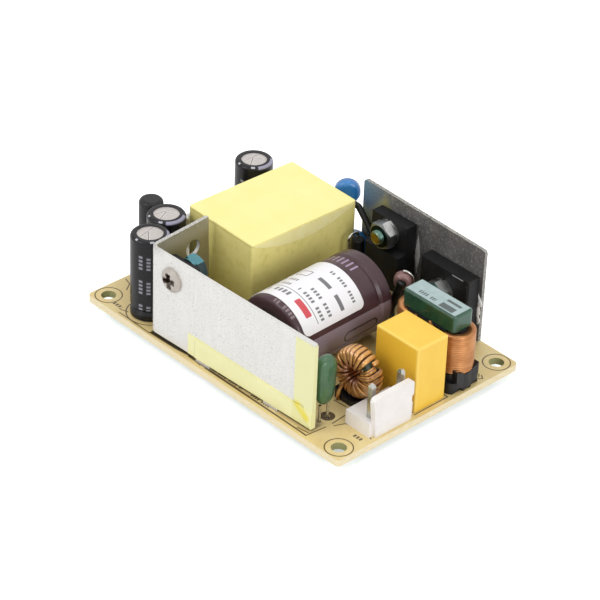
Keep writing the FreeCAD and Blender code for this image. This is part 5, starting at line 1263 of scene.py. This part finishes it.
@dataclass
class BulkCapacitor:
    """The lying capacitor in its plum sleeve, with a printed white label.

    Attributes:
        axis: Where its axis starts at the near end, and its height.
        middle: Place across the board about which the axis is turned.
        skew: Turn of the axis seen from above, in degrees.
        radius: Radius of the sleeve.
        strip: Where the printed label starts and ends along the axis.
        sweep: Where it starts and ends round the axis, in degrees.
        skins: Radius of its outer and of its inner face.
        corner: Radius of its corners.
        rows: Printed dashes on it: start round the axis and along it, length, height, pitch.
        blocks: Centre and half size of its solid bars.
        frame: Centre and half size of its outlined field.
        rule: The ends of its thin line.
        field: Centre and half size of its red field.
        stripe: Lower and upper angle of the sleeve's mauve stripe, in degrees.
        pill: Centre and half size of the outlined pill on the stripe.
        marks: Place of the first of the sleeve's six strokes, and their pitch.
    """

    axis: Triple = (45.975, 9.2, 9.2)
    middle: float = 22.3
    skew: float = 1.6
    radius: float = 8.9
    strip: Pair = (1.5, 18.3)
    sweep: Pair = (22.0, 150.0)
    skins: Pair = (9.06, 8.92)
    corner: float = 1.3
    rows: Tuple[Row, ...] = (
        ((4.9, 7.0), 8.4, 0.9, 0.8), ((4.9, 9.1), 7.2, 0.9, 0.8), ((13.0, 4.2), 6.6, 1.3, 1.1),
        ((15.6, 7.0), 5.2, 0.8, 0.7), ((15.6, 9.1), 4.4, 0.8, 0.7), ((5.2, 16.0), 8.4, 0.8, 0.7))
    blocks: Tuple[Tuple[Pair, Pair], ...] = (((6.6, 12.6), (1.7, 0.5)), ((11.6, 12.6), (1.7, 0.5)))
    frame: Line = ((17.2, 12.4), (1.6, 1.0))
    rule: Line = ((4.9, 5.6), (20.0, 5.6))
    field: Line = ((9.0, 4.2), (2.2, 0.8))
    stripe: Pair = (-62.0, 14.0)
    pill: Line = ((17.0, -1.398), (4.6, 1.15))
    marks: Pair = (11.6, 1.3)

    def unrolled(self, g: Graph) -> Tuple[Value, Value]:
        """Returns the angle round the axis in degrees and the place along it from the near end.

        Args:
            g: The node tree.

        Returns:
            The angle, counted upwards from the right side, and the place along the axis.
        """
        x, y, z = g.place()
        across, along = turned(x - self.axis[0], y - self.middle, self.skew)
        return bearing(across, z - self.axis[2]), along + (self.middle - self.axis[1])

    def sleeve(self) -> bpy.types.Material:
        """Returns plum sleeve with pale strokes, a mauve stripe and a dark outlined pill.

        Returns:
            The material.
        """
        g = Graph("plum_sleeve")
        angle, along = self.unrolled(g)
        arc = angle * (PER_DEGREE * self.radius)
        cloud, colour = g.patchy(0.3, "3C262B", "4A3238", 1.6, 0.3)
        low, high = self.stripe
        stripe = angle.ramp(high, high - 0.6) * angle.ramp(low, low + 0.6) * along.band(13.1, 12.4, 0.3)
        colour = g.mix(stripe, colour, "8A7C86")
        pill = abs(panel(along, arc, *self.pill, self.pill[1][1])) - 0.17
        colour = g.mix(pill.inside(0.1) * 0.95, colour, "120A0E")
        first, pitch = self.marks
        marks = [bar(arc, along, (first + pitch * k, 20.0), (first + pitch * k, 21.9), 0.2) for k in range(6)]
        colour = g.mix(least(marks).inside(0.12) * 0.8, colour, "B49AB8")
        small = dashes(arc, along, (18.6, 20.3), 5.0, 0.9, 0.7)
        colour = g.mix(small * 0.6, colour, "B49AB8")
        front = dashes(arc, along, (8.0, 0.9), 6.0, 0.9, 0.9)
        colour = g.mix(front * 0.6, colour, "9A8A90")
        ripple = g.math("SINE", along * 3.2 + cloud * 6.0) * along.ramp(20.5, 23.5) * 0.5 + 0.5
        height = ripple * 0.7 + g.noise(1.2) * 0.3
        return g.finish(colour, 0.3 + cloud * 0.12, normal=g.bump(height, 0.05), coat=0.15, gloss=0.4)

    def label(self) -> bpy.types.Material:
        """Returns the label: bare paper with grey bars and a plain red field.

        Returns:
            The material.
        """
        g = Graph("white_label")
        angle, along = self.unrolled(g)
        arc = angle * (PER_DEGREE * self.radius)
        paper = g.mix(g.noise(0.5), "E9E7EA", "EFEEF0")
        colour = g.mix(panel(arc, along, *self.field, 0.25).inside(0.1), paper, "CC4650")
        drawn = [panel(arc, along, *block, 0.1) for block in self.blocks]
        drawn += [abs(panel(arc, along, *self.frame, 0.2)) - 0.12, bar(arc, along, *self.rule, 0.09)]
        dark = printed(arc, along, self.rows).high(least(drawn).inside(0.1))
        colour = g.mix(dark * 0.85, colour, "3C3A40")
        return g.finish(colour, 0.33, normal=g.bump(g.noise(3.0), 0.006), coat=0.15)

    def paper(self) -> None:
        """Adds the printed label, a thin sheet bent round the upper side of the sleeve.

        At the angle a and the share s of the length, the outer face is at radius skins[0]
        and the inner at skins[1]. Towards both ends of the sweep the length is drawn in by
        c - sqrt(c^2 - d^2), with c the corner radius and d how far a is inside the corner.
        """
        first, last = self.sweep
        degrees = np.concatenate([[first, first + 0.1], np.linspace(first + 0.5, last - 0.5, 90), [last - 0.1, last]])
        arc = np.minimum(degrees - first, last - degrees) * PER_DEGREE * self.radius
        d = np.clip(self.corner - arc, 0.0, self.corner)
        inset = (self.corner - np.sqrt(self.corner ** 2 - d ** 2))[:, None]
        s = np.concatenate([[0.0, 0.004], np.linspace(0.02, 0.98, 20), [0.996, 1.0]])
        start, end = self.strip[0] + inset, self.strip[1] - inset
        outer = start + (end - start) * s[None, :]
        along = np.concatenate([outer, outer[:, ::-1]], axis=1)
        radius = np.concatenate([np.full(outer.shape, skin) for skin in self.skins], axis=1)
        a = np.radians(degrees)[:, None]
        dx, dy = turned(radius * np.cos(a), along - (self.middle - self.axis[1]), -self.skew)
        grid = np.stack([self.axis[0] + dx, self.middle + dy, self.axis[2] + radius * np.sin(a)], axis=2)
        shell("bulk_capacitor_paper", grid, self.label())

    def build(self) -> None:
        """Dresses the capacitor and adds its printed label."""
        dress(self.sleeve(), "bulk_capacitor_sleeve", "bulk_capacitor_label")
        self.paper()
        dress(Finish("can", "4A4044", "2E2629", rough=0.4, metal=0.3).material(), "bulk_capacitor_can")
        rubber = Finish("rubber", "232224", "161517", rough=0.6, gloss=0.25)
        dress(rubber.material(), "bulk_capacitor_bung", "output_capacitor_bungs")


@dataclass
class OutputCapacitors:
    """The three standing capacitors and the sleeved rod beside them.

    Attributes:
        places: Where they stand.
        turns: Angle in degrees of each one's printed rows, seen from above.
        names: Their names in the frame.
        rows: Printed dashes that repeat up the sleeve: start up and round it, length, height, pitch.
        top: Height of their tops.
        radius: Their radius.
    """

    places: Tuple[Pair, ...] = ((13.5, 5.7), (9.9, 13.2), (5.3, 41.8))
    turns: Tuple[float, ...] = (-58.0, -84.0, -70.0)
    names: Tuple[str, ...] = ("first", "second", "third")
    rows: Tuple[Row, ...] = (((0.9, -0.75), 3.5, 0.85, 0.9), ((0.9, 0.95), 3.8, 0.85, 0.82))
    top: float = 19.45
    radius: float = 4.1

    def sleeve(self, k: int) -> bpy.types.Material:
        """Returns black sleeve with rows of pale dashes and a painted highlight arc on the shoulder.

        Args:
            k: Which capacitor, counted from zero.

        Returns:
            The material.
        """
        g = Graph("black_sleeve_" + self.names[k])
        x, y, z = g.place()
        dx, dy = x - self.places[k][0], y - self.places[k][1]
        angle = bearing(dx, dy) - self.turns[k]
        arc = angle * (PER_DEGREE * self.radius)
        cloud, colour = g.patchy(0.5, "0F0E11", "1B1A1E", 1.6, 0.3)
        rows = printed(z % 5.9, arc, self.rows) * z.ramp(18.4, 18.2) * z.ramp(2.6, 2.8)
        colour = g.mix(rows * 0.75, colour, "9C9CA6")
        out = (dx ** 2.0 + dy ** 2.0) ** 0.5
        # Painted highlight: a pale lilac arc on one side of the sleeve's shoulder.
        shoulder_highlight = out.band(3.75, 0.3, 0.1) * (z - (self.top - 0.8)).ramp(0.0, 0.1) * abs(angle - 82.0).ramp(42.0, 39.0)
        colour = g.mix(shoulder_highlight * 0.8, colour, "A8A6BC")
        tick = (abs(angle - 24.0).ramp(7.0, 6.0) + abs(angle + 30.0).ramp(5.0, 4.0)).clamp()
        colour = g.mix(tick * out.band(3.7, 0.2, 0.1) * z.ramp(18.7, 18.8) * 0.8, colour, "C9C9D2")
        return g.finish(colour, 0.26 + cloud * 0.12, normal=g.bump(g.noise(1.0, 3.0), 0.03), coat=0.12, gloss=0.25)

    def disc_top(self, k: int) -> bpy.types.Material:
        """Returns satin aluminium with three vent lines that meet off the centre, painted dark as shade in their
        grooves and edged with painted glints.

        Args:
            k: Which capacitor, counted from zero.

        Returns:
            The material.
        """
        g = Graph("vented_can_" + self.names[k])
        x, y, _ = g.place()
        u, v = turned(x - self.places[k][0], y - self.places[k][1], self.turns[k] + 58.0)
        vents = least([bar(u, v, (-0.35, -2.6), (-1.6, 2.6), 0.09), bar(u, v, (-0.7, 0.1), (2.1, -2.2), 0.09),
                       bar(u, v, (-0.7, 0.1), (1.2, 2.4), 0.09)])
        # Painted shade in the vent grooves, and painted highlights just beside them.
        line = vents.inside(0.14)
        glint = (vents - 0.16).inside(0.14) - line
        brushed = g.noise(2.0, 4.0, 0.6)
        colour = g.mix(brushed, "BDB6B2", "D8D2CE")
        colour = g.mix(line * 0.85, colour, "6A625E")
        colour = g.mix(glint.clamp() * 0.6, colour, "F4F0EC")
        return g.finish(colour, 0.42 + brushed * 0.15, metal=0.75, normal=g.bump(1.0 - line, 0.12))

    def build(self) -> None:
        """Dresses the capacitors and the rod."""
        for k, name in enumerate(self.names):
            dress(self.sleeve(k), "output_capacitor_%s_sleeve" % name)
            dress(self.disc_top(k), "output_capacitor_%s_can" % name)
        rod = Finish("rod_sleeve", "19181B", "0F0E10", coat=0.1, grain=1.5, depth=0.06, patch=0.5, gloss=0.35)
        dress(rod.material(), "rod_inductor")


@dataclass
class Choke:
    """The common mode choke: green core, grooved windings, black base and a small label.

    Attributes:
        place: Its centre.
        offset: Distance of each winding from the centre.
        radius: Outer radius of a winding.
        bore: Inner radius of a winding.
        foot: Height of a winding's foot.
        head: Height of its head.
        pitch: Rise of one turn of its wire.
        groove: Depth of the groove between two turns.
        wires: Points that each wire end passes, by its side.
        wire: Radius of the wire at the start and at the tip of an end.
    """

    place: Pair = (66.2, 36.2)
    offset: float = 5.7
    radius: float = 3.84
    bore: float = 2.2
    foot: float = 4.24
    head: float = 12.98
    pitch: float = 0.46
    groove: float = 0.09
    wires: Tuple[Tuple[str, Tuple[Triple, ...]], ...] = (
        ("left", ((63.1, 33.3, 12.6), (63.7, 32.6, 13.3), (64.4, 31.9, 13.6), (64.9, 31.6, 13.4))),
        ("right", ((68.9, 33.2, 12.2), (68.6, 32.6, 13.0), (68.4, 32.1, 13.8), (68.3, 31.9, 14.6))))
    wire: Pair = (0.4, 0.3)

    def copper(self) -> bpy.types.Material:
        """Returns varnished copper wire with a few darker turns.

        Returns:
            The material.
        """
        g = Graph("choke_copper")
        fine = g.noise(6.0, 2.0)
        _, colour = g.patchy(0.5, "BA7A46", "D89C64", 1.7, 0.4)
        coarse = g.streaks(0.9, (9.0, 9.0, 1.0), 2.0)
        colour = g.mix(coarse.ramp(0.45, 0.65) * 0.35, colour, "96592E")
        return g.finish(colour, 0.3 + fine * 0.12, metal=0.7, normal=g.bump(fine, 0.01), coat=0.15)

    def turns(self, side: int, name: str, material: bpy.types.Material) -> None:
        """Adds one winding as grooved turns that replace the CAD node of that name.

        The outer radius at the height h and the angle a is radius less
        groove (1 - |sin(pi (h / pitch - a / 2 pi))|), drawn in a little at both ends. The
        profile goes up the outside, down the bore, and is carried round the axis.

        Args:
            side: Minus one for the left winding, one for the right.
            name: The CAD node.
            material: Its material.
        """
        a = np.linspace(0.0, 2 * np.pi, 72, endpoint=False)[:, None]
        rise = np.linspace(self.foot, self.head, 190)[None, :]
        wave = np.abs(np.sin(np.pi * ((rise - self.foot) / self.pitch - a / (2 * np.pi))))
        ends = np.minimum(1.0, np.minimum(rise - self.foot, self.head - rise) / 0.25 + 0.55)
        outer = (self.radius - self.groove * (1.0 - wave)) * (0.985 + 0.015 * ends)
        lining = np.full((72, 6), self.bore)
        down = np.broadcast_to(np.linspace(self.head, self.foot, 6), (72, 6))
        r = np.concatenate([outer, lining], axis=1)
        h = np.concatenate([np.broadcast_to(rise, (72, 190)), down], axis=1)
        x = self.place[0] + side * self.offset + r * np.cos(a)
        y = self.place[1] + r * np.sin(a)
        made = shell(name + "_turns", np.stack([x, y, h], axis=2), material, round_path=True)
        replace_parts(made, name)

    def wire_ends(self, material: bpy.types.Material) -> None:
        """Adds the two short wire ends that stick out under the core's near side.

        Args:
            material: Their material.
        """
        taper = np.linspace(*self.wire, 24)
        for side, points in self.wires:
            sections = swept(eased(points, 24), np.array((0.0, 0.3, 1.0)), taper, taper, 10)
            shell("choke_wire_end_" + side, sections, material)

    def core(self) -> bpy.types.Material:
        """Returns glossy green coating, its right end face painted lighter as lit, with thin worn spots low down.

        Returns:
            The material.
        """
        g = Graph("green_core")
        _, _, z = g.place()
        cloud, colour = g.patchy(0.5, "143A27", "1F5238", 1.7, 0.4)
        # Painted light: the right end face is lighter, as lit from the right.
        colour = g.mix(g.facing(Face.RIGHT) * 0.3, colour, "2A6048")
        worn = g.noise(1.6, 3.0).ramp(0.68, 0.74) * z.ramp(15.4, 14.4)
        colour = g.mix(worn * 0.5, colour, "8A7A4A")
        return g.finish(colour, 0.22 + cloud * 0.15, normal=g.bump(g.noise(1.5, 3.0), 0.06), coat=0.6)

    def label(self) -> bpy.types.Material:
        """Returns the label on top of the core: plain blue grey with dark bars.

        Returns:
            The material.
        """
        g = Graph("core_label")
        x, y, _ = g.place()
        colour = g.mix(g.noise(0.7, 3.0), "8FA4A4", "AEC0C0")
        dark = dashes(x, y, (62.0, 35.1), 4.6, 0.95, 0.62)
        blocks = least([panel(x, y, (69.9, 35.0), (1.9, 0.8), 0.1), panel(x, y, (69.9, 37.0), (1.9, 0.35), 0.1)])
        dark = dark.high(blocks.inside(0.1))
        colour = g.mix(dark * 0.85, colour, "26322F")
        return g.finish(colour, 0.3, normal=g.bump(g.noise(3.0), 0.008), coat=0.2)

    def build(self) -> None:
        """Dresses the choke and adds its turns and wire ends."""
        copper = self.copper()
        self.turns(-1, "choke_winding_left", copper)
        self.turns(1, "choke_winding_right", copper)
        self.wire_ends(copper)
        dress(self.core(), "choke_core")
        dress(self.label(), "choke_label")
        base = Finish("black_moulding", "1C1C1E", "111113", coat=0.1, grain=5.0, depth=0.02, gloss=0.35)
        dress(base.material(), "choke_bobbin", "toroid_base")
        dress(copper, "transformer_winding")


@dataclass
class Toroid:
    """The toroid choke: a dark green core and one long winding that passes twice its hole.

    Attributes:
        place: Centre of the core.
        outer: Radius at which the wire's middle passes outside.
        inner: Radius at which it passes inside.
        second: How much further in every second turn passes.
        half: Half of the winding's width at the wire's middle.
        turns: Number of turns.
        gap: Angle of the gap's middle in degrees, counted from the right.
        open: Angle that the gap leaves open.
        wide: Half width of the wire outside and inside.
        deep: Half depth of the wire.
        lead: Points that the front lead passes.
        lead_radius: Its radius.
    """

    place: Triple = (63.9, 16.95, 6.85)
    outer: float = 5.16
    inner: float = 2.35
    second: float = 0.75
    half: float = 1.72
    turns: int = 25
    gap: float = 38.0
    open: float = 11.0
    wide: Pair = (0.56, 0.34)
    deep: float = 0.42
    lead: Tuple[Triple, ...] = ((61.6, 15.2, 3.9), (61.5, 14.6, 2.9), (61.45, 14.05, 1.6), (61.45, 14.0, 0.05))
    lead_radius: float = 0.4

    def path(self) -> Tuple[np.ndarray, np.ndarray, np.ndarray, np.ndarray]:
        """Returns the wire's path, its direction of width, its half widths and half depths.

        For the turn count s, the angle in the section is 2 pi s with
        c = sgn(cos) |cos|^0.55 and w = sgn(sin) |sin|^0.6. The radius runs from outer at
        c = 1 to inner at c = -1, less second on every other turn, the place across the ring
        is half w, and the angle round the ring grows with s over the wound arc.

        Returns:
            Places on the path, the direction of width at each, and the half widths and depths.
        """
        s = np.linspace(0.0, self.turns, self.turns * 44 + 1)
        a = 2 * np.pi * s
        c = np.sign(np.cos(a)) * np.abs(np.cos(a)) ** 0.55
        w = np.sign(np.sin(a)) * np.abs(np.sin(a)) ** 0.6
        k = np.floor(s)
        share = (1.0 - c) / 2.0
        hole = self.inner - self.second * (k % 2)
        r = self.outer * (1.0 - share) + hole * share
        r = r + 0.05 * np.sin(5.3 * k) * (1.0 - share)
        bulge = 1.0 + (0.30 * (k % 2) + 0.06 * np.sin(3.7 * k)) * share ** 0.7
        across = self.half * w * bulge
        start = math.radians(self.gap + self.open / 2)
        sweep = math.radians(360.0 - self.open)
        round_ring = start + sweep * s / self.turns + 0.022 * np.sin(7.1 * k) * (1.0 - share)
        points = np.stack([r * np.cos(round_ring), across, r * np.sin(round_ring)], axis=1) + np.array(self.place)
        tangent = np.stack([-np.sin(round_ring), np.zeros_like(s), np.cos(round_ring)], axis=1)
        wide = self.wide[0] * (1.0 - share) + self.wide[1] * share
        return points, tangent, wide, self.deep * (1.0 - 0.15 * share)

    def copper(self) -> bpy.types.Material:
        """Returns varnished copper: golden outside, painted red brown shade towards the hole, painted dark gaps
        between the strands and painted pale pink highlights.

        Returns:
            The material.
        """
        g = Graph("toroid_copper")
        x, y, z = g.place()
        out = disc(x, z, (self.place[0], self.place[2]), 0.0)
        cloud, colour = g.patchy(0.9, "C2863F", "E2B06A", 1.7, 0.4)
        start, sweep = self.gap + self.open / 2, 360.0 - self.open
        angle = bearing(x - self.place[0], z - self.place[2])
        count = (angle - start) / (sweep / self.turns) - (y - self.place[1]) / (4.0 * self.half)
        # Painted shade: dark gaps between neighbouring strands.
        groove = (count % 1.0).band(0.5, 0.12, 0.2)
        colour = g.mix(groove * 0.8, colour, "4E1C10")
        # Painted shade: redder and darker towards the hole.
        colour = g.mix(out.ramp(3.6, 1.6) * 0.75, colour, "7A3420")
        # Painted highlights: pale pink patches.
        colour = g.mix(g.noise(0.35).ramp(0.5, 0.7) * 0.4, colour, "E6BCA4")
        return g.finish(colour, 0.24 + cloud * 0.12, metal=0.55, normal=g.bump(g.noise(2.0), 0.015), coat=0.5)

    def build(self) -> None:
        """Adds the winding and its front lead, and dresses the core."""
        copper = self.copper()
        path, tangent, wide, deep = self.path()
        made = shell("toroid_wire", swept(path, tangent, wide, deep, 12), copper)
        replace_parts(made, "toroid_winding")
        thick = np.full(30, self.lead_radius)
        shell("toroid_lead", swept(eased(self.lead, 30), ALONG_BOARD, thick, thick, 12), copper)
        core = Finish("toroid_core", "24402E", "16281C", rough=0.3, coat=0.4, grain=2.0, depth=0.03, patch=0.6)
        dress(core.material(), "toroid_core")


@dataclass
class Dips:
    """The dipped parts: varistor, two blue discs and the pink brown thermistor.

    Attributes:
        stand: Where the varistor stands on the board.
        body: Its thickness along the board and its width across it.
        foot: Height of its lower end.
        top: Height of its upper end.
    """

    stand: Pair = (64.3, 7.25)
    body: Pair = (3.6, 5.2)
    foot: float = 3.9
    top: float = 15.2

    def dipped(self, name: str, colours: Tuple[str, str, str], rough: float) -> bpy.types.Material:
        """Returns a glossy dip coat, thin and pale in specks and darker towards its foot.

        Args:
            name: The material's name.
            colours: Main colour, shade and speck colour.
            rough: Roughness.

        Returns:
            The material.
        """
        g = Graph(name)
        _, _, z = g.place()
        cloud = g.noise(0.4, 3.0)
        colour = g.mix((cloud * 1.7 - 0.4).clamp(), colours[1], colours[0])
        specks = g.noise(2.6, 3.0, 0.6).ramp(0.64, 0.72)
        colour = g.mix(specks * 0.45, colour, colours[2])
        colour = g.mix(z.ramp(5.5, 3.5) * 0.35, colour, colours[1])
        ripple = g.noise(0.9, 3.0)
        return g.finish(colour, rough + cloud * 0.1, normal=g.bump(ripple, 0.12), coat=0.5)

    def drop(self) -> np.ndarray:
        """Returns the varistor: a dipped body, full at the top and narrow towards its leads.

        With t from zero at the foot to one at the top, the half sizes are those of the body
        times (1 - |2 t - 1|^4)^0.42 (0.80 + 0.24 t), and each section is the curve
        (a sgn(cos) |cos|^0.85, b sgn(sin) |sin|^0.85).

        Returns:
            The sections from the foot up, rows by columns by three.
        """
        t = 0.5 - 0.5 * np.cos(np.linspace(0.06, math.pi - 0.06, 60))
        swell = (1.0 - np.abs(2 * t - 1) ** 4.0) ** 0.42 * (0.80 + 0.24 * t)
        swell = np.minimum(swell, 1.0)[:, None]
        a = np.linspace(0.0, 2 * np.pi, 56, endpoint=False)
        cosine = np.sign(np.cos(a)) * np.abs(np.cos(a)) ** 0.85
        sine = np.sign(np.sin(a)) * np.abs(np.sin(a)) ** 0.85
        x = self.stand[0] + self.body[0] / 2 * swell * cosine
        y = self.stand[1] + self.body[1] / 2 * swell * sine
        z = np.broadcast_to(self.foot + (self.top - self.foot) * t[:, None], x.shape)
        return np.stack([x, y, z], axis=2)

    def build(self) -> None:
        """Dresses the dipped parts."""
        green = self.dipped("green_dip", ("3F6E44", "2F5436", "86A886"), 0.3)
        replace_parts(shell("varistor_dip", self.drop(), green), "varistor")
        dress(self.dipped("blue_dip", ("2C7CBE", "1C5E9C", "7CB8E0"), 0.25), "disc_capacitor_lower",
              "disc_capacitor_upper")
        dress(self.dipped("pink_dip", ("9C7674", "7C5A5A", "C4A4A0"), 0.35), "thermistor")


@dataclass
class Mouldings:
    """The yellow safety capacitor and the two white connectors.

    Attributes:
        case: Low and high corner of the capacitor's case.
    """

    case: Tuple[Triple, Triple] = ((62.9, 22.26, 0.1), (74.7, 30.7, 15.2))

    def yellow(self) -> bpy.types.Material:
        """Returns smooth yellow moulding with a faint speckle, its near face painted darker as shade and painted
        highlights along its top right, top near and near right edges.

        Returns:
            The material.
        """
        g = Graph("yellow_case")
        x, y, z = g.place()
        speckle = g.noise(5.0, 3.0, 0.7)
        cloud, colour = g.patchy(0.25, "EEC040", "F3CA4A", 1.6, 0.3)
        # Painted shade: the near face is darker.
        colour = g.mix(g.facing(Face.NEAR) * 0.5, colour, "E4AE1E")
        colour = g.mix(speckle.ramp(0.6, 0.75) * 0.25, colour, "C9951A")
        low, high = self.case
        # Painted highlights along the three edges that meet at the near top right corner.
        highlit_edges = [(x - high[0]) ** 2.0 + (z - high[2]) ** 2.0, (y - low[1]) ** 2.0 + (z - high[2]) ** 2.0,
                 (x - high[0]) ** 2.0 + (y - low[1]) ** 2.0]
        near = least(highlit_edges)
        colour = g.mix(near.ramp(0.4, 0.02) * 0.4, colour, "F8DC7A")
        return g.finish(colour, 0.36 + cloud * 0.12, normal=g.bump(speckle, 0.012), coat=0.12)

    def white(self) -> bpy.types.Material:
        """Returns white nylon with a satin grain and faint grey handling marks.

        Returns:
            The material.
        """
        g = Graph("white_nylon")
        grain = g.noise(5.0, 3.0, 0.6)
        cloud, colour = g.patchy(0.3, "E4DFDB", "EEEAE7", 1.6, 0.3)
        colour = g.mix(g.noise(1.1, 4.0).ramp(0.62, 0.72) * 0.2, colour, "C9C2BC")
        return g.finish(colour, 0.4 + cloud * 0.1, normal=g.bump(grain, 0.01), coat=0.1)

    def build(self) -> None:
        """Dresses the case and the connectors."""
        dress(self.yellow(), "safety_capacitor")
        dress(self.white(), "input_connector_housing", "output_connector_housing")


def main() -> None:
    logging.basicConfig(level=logging.INFO, format="%(message)s")
    assemblies = (Studio(), Board(), OutputSink(), InputSink(), Fasteners(), Devices(), Transformer(),
                  BulkCapacitor(), OutputCapacitors(), Choke(), Toroid(), Dips(), Mouldings())
    for assembly in assemblies:
        assembly.build()
        LOG.info("%s done", type(assembly).__name__)


if __name__ == "__main__":
    main()
